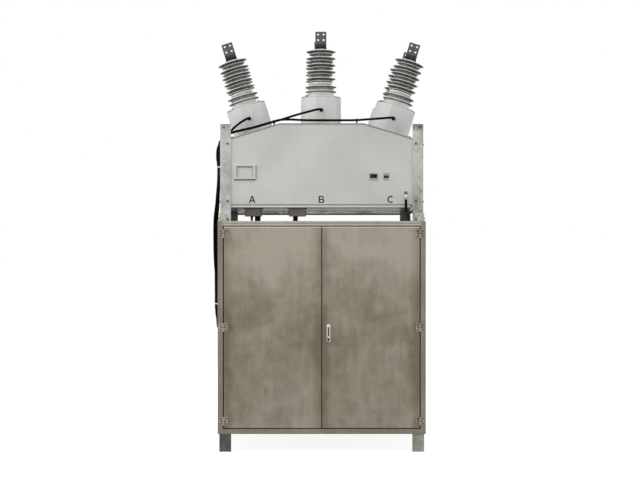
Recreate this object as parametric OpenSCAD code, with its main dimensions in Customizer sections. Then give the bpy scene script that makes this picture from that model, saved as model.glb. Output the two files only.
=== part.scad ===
// Outdoor medium-voltage vacuum circuit breaker: a steel tank with six leaning bushings,
// held between four corner angles that stand on a two-door metal cabinet.
// Millimetres, +Z up, doors facing -Y, origin on the ground at the middle of the frame.

/* [Supporting frame] */
// Width over the four corner angles
frame_w = 1422; // [1380:1:1720]
// Depth over the four corner angles
frame_d = 980; // [900:1:1200]
// Leg width of the corner angle section
angle_w = 75; // [60:1:90]
// Thickness of the corner angle section
angle_t = 6; // [4:0.5:10]
// Height of the legs below the cabinet
leg_h = 126; // [80:1:250]
// Leg width of the angle section below the cabinet
leg_w = 83; // [70:1:100]
// Distance of the legs from the cabinet's sides, front and back
leg_inset = 10.5; // [4:0.5:20]
// Height of the posts above the cabinet
post_h = 679; // [560:1:820]
// Diameter of the lifting hole near the top of each post
lift_hole_d = 14; // [8:1:22]
// Distance of the lifting hole from the post's heel
lift_hole_x = 25; // [20:1:40]
// Distance of the lifting hole from the post's top
lift_hole_drop = 23; // [15:1:60]
// Leg width of the cleats round the feet of the posts
cleat_w = 50; // [30:1:60]
// Height of the cleats
cleat_h = 56; // [30:1:80]
// Thickness of the cleats
cleat_t = 6; // [4:0.5:10]

/* [Cabinet] */
// How far the cabinet stands proud of the frame all round
cabinet_margin = 16; // [12:1:40]
// Height of the cabinet
cabinet_h = 1488; // [1200:1:1800]
// Sheet thickness of the cabinet's shell and front frame
sheet_t = 3; // [2:0.5:5]
// Face width of the stiles beside the doors
stile_w = 35.5; // [30:0.5:60]
// Face height of the rail above the doors
rail_top_w = 29; // [20:1:60]
// Face height of the rail below the doors
rail_bottom_w = 31; // [20:1:60]
// Width of the stop lip behind the doors' edges
lip_w = 15; // [8:1:25]
// Clearance between the back of a shut door and its stop lip
door_stop_gap = 5; // [5:0.5:10]

/* [Doors] */
// Depth of the folded door pans
door_t = 25; // [18:1:40]
// Sheet thickness of the doors
door_skin = 2; // [1.5:0.5:4]
// Gap between a door and its stile
door_side_gap = 7; // [6:0.5:12]
// Gap between the two doors
door_centre_gap = 5; // [5:0.5:12]
// Gap above and below the doors
door_end_gap = 6; // [5:0.5:12]
// Height of one hinge
hinge_h = 58; // [40:1:100]
// Width of one hinge over both leaves
hinge_w = 58; // [40:1:70]
// Thickness of the hinge leaves
leaf_t = 2.5; // [2:0.5:4]
// Outer diameter of the hinge knuckles
knuckle_d = 11; // [9:0.5:14]
// Diameter of the hinge pins
hinge_pin_d = 6; // [4:0.5:7]
// Running clearance round hinge pins and the handle's spindle, on the radius
running_gap = 0.05; // [0.02:0.01:0.1]
// Axial gap between hinge knuckles
knuckle_gap = 0.5; // [0.3:0.1:1]
// Distance of the end hinges' middles from the ends of the door
hinge_inset = 50; // [45:1:200]

/* [Door handle] */
// Distance of the handle from the door's free edge
handle_inset = 44.5; // [30:0.5:120]
// Height of the handle's spindle above the foot of the door
handle_z = 716; // [300:1:1000]
// Width of the handle's backplate
backplate_w = 26; // [20:1:40]
// Height of the handle's backplate
backplate_h = 124; // [90:1:160]
// Thickness of the handle's backplate
backplate_t = 3; // [2:0.5:6]
// Diameter of the spindle
spindle_d = 10; // [6:0.5:14]
// Length of the lever from the spindle to the middle of its tip
lever_l = 98; // [60:1:115]
// Thickness of the lever, front to back
lever_t = 12; // [8:1:20]
// Clearance between the lever and the backplate
lever_gap = 6; // [5:0.5:12]

/* [Tank] */
// Height of the tank's underside above the cabinet
tank_lift = 94; // [80:1:200]
// Height of the tank from its underside to the top of its roof
tank_h = 591; // [480:1:700]
// Plate thickness of the tank's walls and floor
tank_t = 5; // [3:0.5:10]
// Thickness of the roof plate
roof_t = 6; // [4:0.5:10]
// Height of the floor pan's rim
floor_rim_h = 21; // [12:1:40]
// Width of the flat part of the roof
roof_flat_w = 592; // [500:1:640]
// Slope of the roof at both ends, in degrees
roof_pitch = 17; // [12:0.5:20]
// Height of the rear cross rail under the tank
cross_rail_h = 30; // [16:1:50]
// Width of the cross rail's seat under the tank
cross_rail_w = 50; // [30:1:80]

/* [Transformer housings and bushings] */
// Distance between neighbouring phases
phase_pitch = 481; // [470:1:500]
// Distance between the front and rear rows
row_pitch = 475; // [400:1:520]
// Width of a current transformer housing across its flats
housing_w = 285; // [240:1:320]
// Height of a housing
housing_h = 204; // [150:1:300]
// Thickness of the lid on a housing
lid_t = 4; // [2:0.5:10]
// How far the lid stands back from the housing's edge
lid_inset = 3; // [1:0.5:10]
// Height of the cable glands above the foot of a housing
gland_z = 105; // [40:1:160]
// Length of a cable gland
gland_l = 18; // [10:1:30]
// Diameter of a cable gland
gland_d = 21; // [18:1:30]
// Height of a bushing above its housing
bushing_h = 350; // [340:1:420]
// Diameter of the bushing's stem between its sheds
stem_d = 110; // [80:1:140]
// Diameter of the bushing's foot
foot_d = 188; // [160:1:210]
// Diameter of the plain collar above the foot
collar_d = 162; // [140:1:180]
// Diameter of the two sheds on the foot
foot_shed_d = 226; // [200:1:240]
// Diameter of the large sheds
large_shed_d = 214; // [180:1:240]
// Diameter of the small sheds
small_shed_d = 173; // [140:1:200]
// Distance from one large shed to the next
shed_pitch = 49; // [44:0.5:52]
// Number of pairs of small and large sheds
shed_pairs = 5; // [3:1:5]

/* [Terminals] */
// Width of a terminal plate
terminal_w = 80; // [60:1:120]
// Height of a terminal, from the bushing's cap to the plate's top
terminal_h = 136; // [100:1:200]
// Thickness of a terminal
terminal_t = 10; // [6:1:16]
// Depth of a terminal's foot
terminal_foot_d = 60; // [50:1:76]
// Distance between the terminal's bolt holes
hole_pitch = 40; // [30:1:50]
// Diameter of the terminal's bolt holes
hole_d = 14; // [9:0.5:18]

/* [Fittings] */
// Width of the two terminal boxes under the tank
box_w = 121; // [80:1:160]
// Depth of the boxes under the tank
box_d = 120; // [80:1:200]
// Height of the boxes under the tank
box_h = 58; // [40:1:76]
// Distance of the boxes behind the front of the frame
box_back = 126; // [60:1:300]
// Width of the nameplate holder
plate_holder_w = 152; // [130:1:220]
// Height of the nameplate holder
plate_holder_h = 102; // [95:1:140]
// Thickness of the nameplate holder
plate_holder_t = 10; // [4:0.5:16]
// Height of the indicator windows
indicator_h = 50; // [30:1:80]
// Thickness of the indicator bezels
bezel_t = 4; // [3:0.5:8]
// Diameter of the current transformer cables
cable_d = 16; // [10:1:16]
// Diameter of the earthing cable
earth_d = 18; // [12:1:20]
// Thickness of the gaskets' joint under housings, bushings, terminals and clips
seat_gap = 0.02; // [0.02:0.01:0.5]

/* [Hidden] */
PHASES = ["a", "b", "c"];
ROWS = ["front", "rear"];
SIDES = ["left", "right"];
CORNERS = [for (row = ROWS) for (side = SIDES) str(row, "_", side)];
SEATS = [for (row = ROWS) for (phase = PHASES) str(row, "_", phase)];

$fn = 48;
round_fn = 96;
eps = 0.01;
past = 1; // how far a cutter runs past the face it opens

// Hinges: stand-off of the knuckles from the cabinet's face, relief between a knuckle and its leaf,
// how far a knuckle's tab laps its leaf, and how much thinner the tab is than the leaf
hinge_stand_off = 0.5;
leaf_clear = 1;
tab_lap = 1;
tab_relief = 0.5;

// Handle: width of the lever, diameter of its tip, and size and place of the lobes at its eye
lever_w = 10;
lever_tip_d = 18;
lobe_d = 11;
lobe_at = [7, 3];

// Housings are twelve-sided, with a flat to the front; their glands have a flange, and the rear
// ones a blanking plug
housing_sides = 12;
housing_turn = 180 / housing_sides;
gland_flange = 3;
gland_flange_l = 6;
plug_l = 10;

// Bushings: heights of the two sheds on the foot, taper of the foot, shoulder above the collar,
// height of the first pair of sheds, and the chamfer of the cap
foot_shed_heights = [47, 81];
foot_taper = 4;
collar_drop = 9;
shoulder_drop = 7;
first_pair_h = 120;
bushing_chamfer = 3;
// Sheds: half the thickness of the rim, run of its rounding, and fall of the underside and of the
// top from the middle of the rim to the stem
rim_half_t = 1;
rim_run = 3;
under_fall = 5;
over_fall = 11;
shed_gap_share = 0.4;

// Clips: wall round the cable, length along it, width of the stem, and play round the cable
clip_wall = 3;
clip_l = 12;
clip_stem_w = 10;
clip_play = 0.4;
// Ties: thickness and width of the band, play round the cables, inner radius where the cables lie
// in a bundle, and stretch where they lie in a row
tie_t = 1.4;
tie_h = 6;
tie_play = 0.3;
tie_round_r = 18.4;
tie_wrap = 34;
// The first turn of a cable's ring of points starts on this side
cable_start = [0.3, 0.2, 1];
cable_sides = 10;

// Entry plate of the cables: thickness, size front to back and upwards, middle, and the space
// inside the side sheet where the cables end
entry_plate_t = 2;
entry_plate = [90, 120];
entry_plate_at = [-387, 880];
entry_space = [100, 200, 300];

// Boxes under the tank: flange, middles, and each conduit's box, distance from the box's middle
// and diameter
box_flange_t = 4;
box_flange = 10;
box_x = [-484.5, -170];
CONDUITS = [[0, -11.5, 20], [0, 30.5, 42], [1, -14, 36]];

// Nameplate holder: middle, recess, height of the recess above the holder's foot, and the
// thickness left behind it
holder_at = [-539, 1959];
holder_recess = [115, 78.5];
holder_recess_lift = 11;
holder_back_t = 1;

// Indicator windows, each with its middle, width, and the size and foot of its pane
WINDOWS = [[363.5, 59, 50, 28, 13], [451.4, 38, 34, 19, 13]];
window_z = 1901;
pane_depth = 2;

// Earthing: bolt, lug with its barrel, and the lug on the post
earth_bolt = [589, 1811];
earth_bolt_d = 19;
earth_bolt_l = 8;
lug_w = 24;
lug_t = 4;
lug_lap = 6;
lug_head = 14;
lug_barrel_d = 22;
lug_barrel_h = 32;
lug_barrel_out = 12;
lug_end = 1764;
post_lug_at = [640, 1674];

cabinet_w = frame_w + 2 * cabinet_margin;
cabinet_d = frame_d + 2 * cabinet_margin;
cabinet_top = leg_h + cabinet_h;
wall_z = leg_h + sheet_t;
wall_h = cabinet_h - 2 * sheet_t;
front_y = -cabinet_d / 2;
opening_w = cabinet_w - 2 * stile_w;
stop_depth = door_t + door_stop_gap;

door_w = (opening_w - 2 * door_side_gap - door_centre_gap) / 2;
door_z = wall_z + rail_bottom_w + door_end_gap;
door_top = leg_h + cabinet_h - sheet_t - rail_top_w - door_end_gap;
door_h = door_top - door_z;

hinge_x = opening_w / 2 - door_side_gap / 2;
hinge_y = front_y - knuckle_d / 2 - hinge_stand_off;
hinge_heights = [door_z + hinge_inset, door_z + door_h / 2, door_top - hinge_inset];
knuckle_h = (hinge_h - 2 * knuckle_gap) / 3;
leaf_start = knuckle_d / 2 + leaf_clear;
leaf_back = front_y - hinge_y;

handle_x = door_centre_gap / 2 + handle_inset;
spindle_z = door_z + handle_z;
lever_back = front_y - backplate_t - lever_gap;

tank_w = frame_w - 2 * angle_t;
tank_d = frame_d - 2 * angle_t;
tank_z = cabinet_top + tank_lift;
tank_wall_z = tank_z + floor_rim_h;
roof_top = tank_z + tank_h;
roof_drop = roof_t / cos(roof_pitch);

housing_r = housing_w / 2 / cos(housing_turn);
gland_y = -housing_w / 2;
shed_gap = shed_pitch * shed_gap_share;
entry_face_x = -cabinet_w / 2 - entry_plate_t;

bore_r = spindle_d / 2 + running_gap;

// Height of the roof's upper surface over a point x across the tank
function roof_z(x) = roof_top - max(0, abs(x) - roof_flat_w / 2) * tan(roof_pitch);

under_edge_z = roof_z(tank_w / 2) - roof_drop - tank_wall_z;
under_flat_z = roof_top - roof_drop - tank_wall_z;

// ---- shared shapes ------------------------------------------------------------------

// Draws its children, made for the front left corner, at one of the four corners
module at_corner(i) {
    mirror([i % 2, 0, 0]) mirror([0, i < 2 ? 0 : 1, 0]) children();
}

module on_side(i) {
    mirror([i, 0, 0]) children();
}

// An upright angle section with its heel at the origin
module angle_section(width, thickness, height) {
    linear_extrude(height)
        polygon([[0, 0], [width, 0], [width, thickness], [thickness, thickness],
                 [thickness, width], [0, width]]);
}

// Folded edge of the door opening: face, return and the stop lip behind the door
module folded_edge(face_w) {
    polygon([[0, 0], [face_w, 0], [face_w, stop_depth], [face_w + lip_w, stop_depth],
             [face_w + lip_w, stop_depth + sheet_t], [face_w - sheet_t, stop_depth + sheet_t],
             [face_w - sheet_t, sheet_t], [0, sheet_t]]);
}

// ---- frame --------------------------------------------------------------------------

module legs() {
    color("#6e6e66") for (i = [0:3]) at_corner(i)
        translate([leg_inset - cabinet_w / 2, leg_inset - cabinet_d / 2, 0])
            angle_section(leg_w, angle_t, leg_h);
}

module post(i) {
    color("#b3b2ad") at_corner(i) difference() {
        translate([-frame_w / 2, -frame_d / 2, cabinet_top]) angle_section(angle_w, angle_t, post_h);
        translate([-frame_w / 2 + lift_hole_x, -frame_d / 2 - past, cabinet_top + post_h - lift_hole_drop])
            rotate([-90, 0, 0]) cylinder(d = lift_hole_d, h = angle_t + 2 * past);
    }
}

module post_cleats() {
    color("#99938b") for (i = [0:3]) at_corner(i)
        translate([-frame_w / 2 - cleat_t, -frame_d / 2 - cleat_t, cabinet_top])
            angle_section(cleat_w, cleat_t, cleat_h);
}

module rear_cross_rail() {
    rail_l = frame_w - 2 * angle_w;
    color("#8e8b84") translate([-rail_l / 2, frame_d / 2, tank_z])
        rotate([90, 0, 90]) linear_extrude(rail_l)
            polygon([[0, 0], [0, -cross_rail_h], [-angle_t, -cross_rail_h], [-angle_t, -angle_t],
                     [-cross_rail_w, -angle_t], [-cross_rail_w, 0]]);
}

// ---- cabinet ------------------------------------------------------------------------

module cabinet_plate(z) {
    translate([-cabinet_w / 2, front_y, z]) cube([cabinet_w, cabinet_d, sheet_t]);
}

module cabinet_floor() {
    color("#8f8676") cabinet_plate(leg_h);
}

module cabinet_roof() {
    color("#a8a192") cabinet_plate(cabinet_top - sheet_t);
}

module cabinet_back() {
    color("#948b7c") translate([-cabinet_w / 2, cabinet_d / 2 - sheet_t, wall_z])
        cube([cabinet_w, sheet_t, wall_h]);
}

module cabinet_side(i) {
    color("#948b7c") on_side(i) translate([-cabinet_w / 2, front_y + sheet_t, wall_z])
        cube([sheet_t, cabinet_d - 2 * sheet_t, wall_h]);
}

module front_stile(i) {
    color("#968d7e") on_side(i) translate([-cabinet_w / 2, front_y, wall_z])
        linear_extrude(wall_h) folded_edge(stile_w);
}

// A rail between the stiles, drawn upwards from the cabinet's floor plate
module front_rail(face_h) {
    lip_l = opening_w - 2 * lip_w;
    translate([-opening_w / 2, front_y, 0]) cube([opening_w, sheet_t, face_h]);
    translate([-lip_l / 2, front_y, 0]) rotate([90, 0, 90]) linear_extrude(lip_l)
        mirror([1, -1, 0]) folded_edge(face_h);
}

module front_rail_bottom() {
    color("#968d7e") translate([0, 0, wall_z]) front_rail(rail_bottom_w);
}

module front_rail_top() {
    color("#968d7e") translate([0, 0, cabinet_top - sheet_t]) mirror([0, 0, 1]) front_rail(rail_top_w);
}

// ---- doors --------------------------------------------------------------------------

module door(i) {
    color("#988f80") on_side(i) translate([-door_centre_gap / 2 - door_w, front_y, door_z])
        difference() {
            cube([door_w, door_t, door_h]);
            translate([door_skin, door_skin, door_skin])
                cube([door_w - 2 * door_skin, door_t, door_h - 2 * door_skin]);
        }
}

// Moves its children to the foot of each hinge on the left side, axis at the origin
module at_hinges(i) {
    on_side(i) for (z = hinge_heights)
        translate([-hinge_x, hinge_y, z - hinge_h / 2]) children();
}

// A hinge leaf lying on the cabinet's face, towards -X
module hinge_leaf() {
    translate([-hinge_w / 2, leaf_back - leaf_t, 0])
        cube([hinge_w / 2 - leaf_start, leaf_t, hinge_h]);
}

// One knuckle of a hinge with the tab that joins it to its leaf
module knuckle(z) {
    translate([0, 0, z]) cylinder(d = knuckle_d, h = knuckle_h);
    translate([-leaf_start - tab_lap, leaf_back - leaf_t, z])
        cube([leaf_start, leaf_t - tab_relief, knuckle_h]);
}

module hinge_frame_leaves(i) {
    color("#8f887c") at_hinges(i) {
        hinge_leaf();
        knuckle(0);
        knuckle(hinge_h - knuckle_h);
        cylinder(d = hinge_pin_d, h = hinge_h);
    }
}

module hinge_door_leaves(i) {
    color("#8f887c") at_hinges(i) mirror([1, 0, 0]) difference() {
        union() {
            hinge_leaf();
            knuckle(knuckle_h + knuckle_gap);
        }
        cylinder(d = hinge_pin_d + 2 * running_gap, h = hinge_h);
    }
}

module handle_backplate() {
    color("#b8b6b0") translate([handle_x, front_y, spindle_z]) {
        translate([-backplate_w / 2, -backplate_t, backplate_w / 2 - backplate_h])
            cube([backplate_w, backplate_t, backplate_h - backplate_w / 2]);
        rotate([90, 0, 0]) cylinder(d = backplate_w, h = backplate_t);
        rotate([90, 0, 0]) cylinder(d = spindle_d, h = backplate_t + lever_gap + lever_t);
    }
}

// The lever hangs from the spindle; its eye carries two small lobes
module handle_lever() {
    color("#d8d6d0") translate([handle_x, lever_back, spindle_z]) rotate([90, 0, 0])
        linear_extrude(lever_t) difference() {
            union() {
                circle(d = 2 * spindle_d);
                for (side = [-1, 1]) translate([side * lobe_at.x, lobe_at.y]) circle(d = lobe_d);
                translate([-lever_w / 2, -lever_l]) square([lever_w, lever_l]);
                translate([0, -lever_l]) circle(d = lever_tip_d);
            }
            circle(r = bore_r);
        }
}

// ---- tank ---------------------------------------------------------------------------

// Outline of an end-to-end section of the tank below the roof plate
module wall_outline() {
    polygon([[-tank_w / 2, 0], [tank_w / 2, 0], [tank_w / 2, under_edge_z], [roof_flat_w / 2, under_flat_z],
             [-roof_flat_w / 2, under_flat_z], [-tank_w / 2, under_edge_z]]);
}

module tank_wall_plate(y) {
    translate([0, y + tank_t, tank_wall_z]) rotate([90, 0, 0]) linear_extrude(tank_t) wall_outline();
}

module tank_front() {
    color("#c4c2be") tank_wall_plate(-tank_d / 2);
}

module tank_back() {
    color("#bfbdb9") tank_wall_plate(tank_d / 2 - tank_t);
}

module tank_side(i) {
    color("#bfbdb9") on_side(i) translate([0, tank_d / 2 - tank_t, tank_wall_z]) rotate([90, 0, 0])
        linear_extrude(tank_d - 2 * tank_t) intersection() {
            wall_outline();
            translate([-tank_w / 2, 0]) square([tank_t, tank_h]);
        }
}

module tank_roof() {
    half = tank_w / 2;
    flat = roof_flat_w / 2;
    color("#c9c8c4") translate([0, tank_d / 2, tank_wall_z]) rotate([90, 0, 0]) linear_extrude(tank_d)
        polygon([[-half, under_edge_z], [-flat, under_flat_z], [flat, under_flat_z], [half, under_edge_z],
                 [half, under_edge_z + roof_drop], [flat, under_flat_z + roof_drop],
                 [-flat, under_flat_z + roof_drop], [-half, under_edge_z + roof_drop]]);
}

module tank_floor() {
    color("#a3a09a") translate([-tank_w / 2, -tank_d / 2, tank_z]) difference() {
        cube([tank_w, tank_d, floor_rim_h]);
        translate([tank_t, tank_t, tank_t])
            cube([tank_w - 2 * tank_t, tank_d - 2 * tank_t, floor_rim_h]);
    }
}

// ---- transformer housings, bushings and terminals -----------------------------------

// Stands its children on the roof, square to it, at seat i: three in front, three behind
module on_seat(i) {
    phase = i % 3 - 1;
    mirror([0, i < 3 ? 0 : 1, 0])
        translate([phase * phase_pitch, -row_pitch / 2, roof_z(phase_pitch * phase)])
            rotate([0, phase * roof_pitch, 0]) children();
}

module ct_housing(i) {
    lid_z = housing_h - lid_t;
    color("#cccdca") on_seat(i) rotate([0, 0, housing_turn]) {
        translate([0, 0, seat_gap]) cylinder(r = housing_r, h = lid_z - seat_gap, $fn = housing_sides);
        translate([0, 0, lid_z - eps])
            cylinder(r = housing_r - lid_inset, h = lid_t + eps, $fn = housing_sides);
    }
}

// One shed of a bushing, seen as half a section, from its underside to its top
function shed(h, d, root_below, root_above) = [
    [root_below, h - under_fall], [d / 2 - rim_run, h - rim_run], [d / 2, h - rim_half_t],
    [d / 2, h + rim_half_t], [d / 2 - rim_run, h + rim_run], [root_above, h + over_fall]
];

function shed_pair(h) = concat(
    shed(h, small_shed_d, stem_d / 2, stem_d / 2),
    shed(h + shed_gap, large_shed_d, stem_d / 2, stem_d / 2)
);

function bushing_profile() = concat(
    [[0, 0], [foot_d / 2, 0]],
    shed(foot_shed_heights[0], foot_shed_d, foot_d / 2, foot_d / 2 - foot_taper),
    shed(foot_shed_heights[1], foot_shed_d, foot_d / 2 - foot_taper, collar_d / 2),
    [[collar_d / 2, first_pair_h - collar_drop], [stem_d / 2 + rim_run, first_pair_h - shoulder_drop]],
    [for (k = [0 : shed_pairs - 1]) each shed_pair(first_pair_h + k * shed_pitch)],
    [[stem_d / 2, bushing_h - bushing_chamfer], [stem_d / 2 - bushing_chamfer, bushing_h], [0, bushing_h]]
);

module bushing(i) {
    color("#bdbcb9") on_seat(i) translate([0, 0, housing_h + seat_gap])
        rotate_extrude($fn = round_fn) polygon(bushing_profile());
}

module terminal(i) {
    plate_y = terminal_foot_d / 2 - terminal_t;
    hole_z = terminal_h - terminal_w / 2;
    color("#585758") on_seat(i) translate([0, 0, housing_h + bushing_h + 2 * seat_gap]) difference() {
        union() {
            translate([-terminal_w / 2, -terminal_foot_d / 2, 0])
                cube([terminal_w, terminal_foot_d, terminal_t]);
            translate([-terminal_w / 2, plate_y, 0]) cube([terminal_w, terminal_t, terminal_h]);
        }
        for (x = [-1, 1]) for (z = [-1, 1])
            translate([x * hole_pitch / 2, plate_y - past, hole_z + z * hole_pitch / 2])
                rotate([-90, 0, 0]) cylinder(d = hole_d, h = terminal_t + 2 * past);
    }
}

// Cable glands on the front housings and blanking plugs on the rear ones
module cable_glands() {
    color("#1d1d1c") for (i = [0:5]) on_seat(i) translate([0, gland_y, gland_z]) rotate([90, 0, 0]) {
        cylinder(d = gland_d + 2 * gland_flange, h = gland_flange_l);
        cylinder(d = gland_d, h = i < 3 ? gland_l : plug_l);
    }
}

// ---- cables -------------------------------------------------------------------------

// Point on a smooth curve through b and c, at share t of the way, with neighbours a and d
function curve_point(a, b, c, d, t) =
    (2 * b + (c - a) * t + (2 * a - 5 * b + 4 * c - d) * t * t
        + (3 * b - a - 3 * c + d) * t * t * t) / 2;

// The route with one more point half-way along each stretch
function smooth_route(route) = let (last = len(route) - 1) concat(
    [for (k = [0 : last - 1]) each [
        route[k],
        curve_point(route[max(k - 1, 0)], route[k], route[k + 1], route[min(k + 2, last)], 0.5)
    ]],
    [route[last]]
);

function unit(v) = v / norm(v);

// Direction of a smoothed route at each of its points, square to the exits at both ends
function directions(p) = let (last = len(p) - 1) [for (k = [0 : last])
    unit(k == 0 ? p[2] - p[0] : k == last ? p[last] - p[last - 2] : p[k + 1] - p[k - 1])];

function square_to(v, direction) = unit(v - (v * direction) * direction);

// A tube of one diameter along a route, closed at both ends
module cable(route, diameter, sides = cable_sides) {
    p = smooth_route(route);
    d = directions(p);
    across = [for (k = 0, v = square_to(cable_start, d[0]); k < len(p);
                   k = k + 1, v = k < len(p) ? square_to(v, d[k]) : v) v];
    points = [for (k = [0 : len(p) - 1]) for (s = [0 : sides - 1])
        let (angle = s * 360 / sides)
            p[k] + diameter / 2 * (cos(angle) * across[k] + sin(angle) * cross(d[k], across[k]))];
    last = (len(p) - 1) * sides;
    polyhedron(points, concat(
        [[for (s = [0 : sides - 1]) s]],
        [for (k = [0 : len(p) - 2]) for (s = [0 : sides - 1])
            let (next = (s + 1) % sides, low = k * sides, high = low + sides)
                [low + s, high + s, high + next, low + next]],
        [[for (s = [sides - 1 : -1 : 0]) last + s]]
    ));
}

// Routes of the three transformer cables: over the roof's front edge, round the left end of the
// tank, down outside the left posts and through the entry plate in the cabinet's side
ROUTE_A = [
    [-512, -398, 2343], [-512, -412, 2343], [-521, -424, 2339], [-540, -428, 2329],
    [-571, -424, 2310], [-602, -416, 2287], [-632, -402, 2262], [-668, -382, 2228],
    [-703, -370, 2195], [-723, -370, 2165], [-738, -370, 2118], [-739, -370, 2060],
    [-732, -371, 1998], [-733, -370, 1900], [-741, -372, 1800], [-747, -375, 1710],
    [-750, -379, 1640], [-749, -381, 1560], [-748, -381, 1424], [-750, -377, 1300],
    [-750, -373, 1200], [-749, -371, 1100], [-749, -371, 1031], [-745, -370, 960],
    [-737, -370, 915], [-731, -370, 880], [-720, -370, 850]
];
ROUTE_B = [
    [0, -398, 2404], [0, -412, 2404], [-12, -432, 2403], [-40, -444, 2399],
    [-79, -446, 2388], [-148, -446, 2370], [-218, -446, 2349], [-275, -445, 2331],
    [-334, -445, 2314], [-394, -445, 2297], [-480, -445, 2272], [-570, -440, 2252],
    [-625, -420, 2240], [-668, -400, 2222], [-703, -387, 2195], [-722, -387, 2165],
    [-730, -387, 2118], [-729, -387, 2060], [-726, -387, 1998], [-724, -387, 1900],
    [-727, -389, 1800], [-731, -393, 1710], [-737, -396, 1640], [-740, -396, 1560],
    [-740, -396, 1424], [-740, -390, 1300], [-741, -387, 1200], [-742, -387, 1100],
    [-743, -387, 1031], [-741, -387, 960], [-736, -387, 915], [-731, -387, 880],
    [-720, -387, 850]
];
ROUTE_C = [
    [512, -398, 2343], [512, -412, 2343], [502, -440, 2343], [470, -459, 2340],
    [400, -463, 2334], [300, -462, 2327], [247, -462, 2323], [120, -462, 2322],
    [0, -462, 2322], [-120, -462, 2323], [-220, -462, 2327], [-290, -462, 2325],
    [-334, -462, 2314], [-394, -462, 2297], [-480, -462, 2272], [-570, -458, 2252],
    [-625, -440, 2240], [-668, -419, 2222], [-703, -404, 2195], [-722, -404, 2165],
    [-723, -404, 2118], [-720, -404, 2060], [-720, -403, 1998], [-722, -404, 1900],
    [-734, -406, 1800], [-747, -404, 1710], [-755, -399, 1640], [-758, -396, 1560],
    [-757, -396, 1424], [-752, -403, 1300], [-742, -405, 1200], [-738, -404, 1100],
    [-737, -403, 1031], [-737, -404, 960], [-736, -404, 915], [-731, -404, 880],
    [-720, -404, 850]
];
// Route of the earthing cable: down over the tank's lip and back up to the right front post
ROUTE_EARTH = [
    [589, -496, 1776], [589, -496, 1745], [589, -497, 1715], [589, -497, 1697],
    [594, -494, 1681], [606, -487, 1671], [622, -480, 1673], [637, -474, 1684],
    [648, -473, 1694]
];

// Where the clips hold the cables: place across the tank and height, tilt, and the cables' rows
clip_right = [247, 2323];
clip_right_tilt = 1.5;
clip_left = [-334, 2314];
clip_left_tilt = -15.5;
row_b_y = -445;
row_c_y = -462;
// Where the ties hold them, and how far the upper and lower ties are turned
tie_upper = [-726, -387, 1998];
tie_middle = [-748.3, -391, 1424];
tie_lower = [-743, -387, 1031];
tie_turn = 20;

module ct_cable(i) {
    color("#141413") difference() {
        cable([ROUTE_A, ROUTE_B, ROUTE_C][i], cable_d);
        translate([entry_face_x, entry_plate_at.x - entry_space.y / 2,
                   entry_plate_at.y - entry_space.z / 2])
            cube(entry_space);
    }
}

module cable_entry_plate() {
    color("#2a2a29") translate([entry_face_x, entry_plate_at.x - entry_plate.x / 2,
                                entry_plate_at.y - entry_plate.y / 2])
        cube([entry_plate_t, entry_plate.x, entry_plate.y]);
}

// A round bar along a cable, centred on the clip at x and z in the cable's row at y
module along_cable(x, y, z, tilt, r, length) {
    translate([x, y, z]) rotate([0, 90 + tilt, 0]) translate([0, 0, -length / 2])
        cylinder(r = r, h = length);
}

// Rings round the cables of the given rows, each with a stem down to the roof
module clip(x, z, rows, tilt) {
    stem_top = z - cable_d / 2 - clip_wall / 2;
    half = clip_stem_w / 2;
    difference() {
        for (y = rows) {
            along_cable(x, y, z, tilt, cable_d / 2 + clip_wall, clip_l);
            translate([0, y + half, 0]) rotate([90, 0, 0]) linear_extrude(clip_stem_w)
                polygon([[x - half, roof_z(x - half) + seat_gap], [x + half, roof_z(x + half) + seat_gap],
                         [x + half, stem_top], [x - half, stem_top]]);
        }
        for (y = rows) along_cable(x, y, z, tilt, cable_d / 2 + clip_play, 3 * clip_l);
    }
}

module cable_clips() {
    color("#232322") {
        clip(clip_right.x, clip_right.y, [row_c_y], clip_right_tilt);
        clip(clip_left.x, clip_left.y, [row_b_y, row_c_y], clip_left_tilt);
    }
}

// A flat band of a given inner radius, stretched front to back and turned
module tie_band(at, inner_r, stretch, turn) {
    translate([at.x, at.y, at.z - tie_h / 2]) rotate([0, 0, turn]) linear_extrude(tie_h) difference() {
        stadium(inner_r + tie_t, stretch);
        stadium(inner_r, stretch);
    }
}

module stadium(r, stretch) {
    for (end = [-1, 1]) translate([0, end * stretch / 2]) circle(r);
    translate([-r, -stretch / 2]) square([2 * r, stretch]);
}

module cable_ties() {
    color("#e4e3df") {
        tie_band(tie_upper, cable_d / 2 + tie_play, tie_wrap, tie_turn);
        tie_band(tie_middle, tie_round_r, eps, 0);
        tie_band(tie_lower, cable_d / 2 + tie_play, tie_wrap, tie_turn);
    }
}

// ---- fittings -----------------------------------------------------------------------

module under_tank_boxes() {
    color("#6c6961") for (b = [0, 1]) translate([box_x[b], -frame_d / 2 + box_back, tank_z]) {
        translate([-box_w / 2, 0, -box_h]) cube([box_w, box_d, box_h]);
        translate([-box_w / 2 - box_flange, -box_flange, -box_flange_t])
            cube([box_w + 2 * box_flange, box_d + 2 * box_flange, box_flange_t]);
        for (conduit = CONDUITS) if (conduit[0] == b)
            translate([conduit[1], box_d / 2, -tank_lift])
                cylinder(d = conduit[2], h = tank_lift - box_h + eps);
    }
}

module nameplate_holder() {
    color("#c2c0bb") translate([holder_at.x, -tank_d / 2, holder_at.y]) rotate([90, 0, 0]) difference() {
        translate([-plate_holder_w / 2, -plate_holder_h / 2, 0])
            cube([plate_holder_w, plate_holder_h, plate_holder_t]);
        translate([-holder_recess.x / 2, holder_recess_lift - plate_holder_h / 2, holder_back_t])
            cube([holder_recess.x, holder_recess.y, plate_holder_t]);
    }
}

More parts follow.
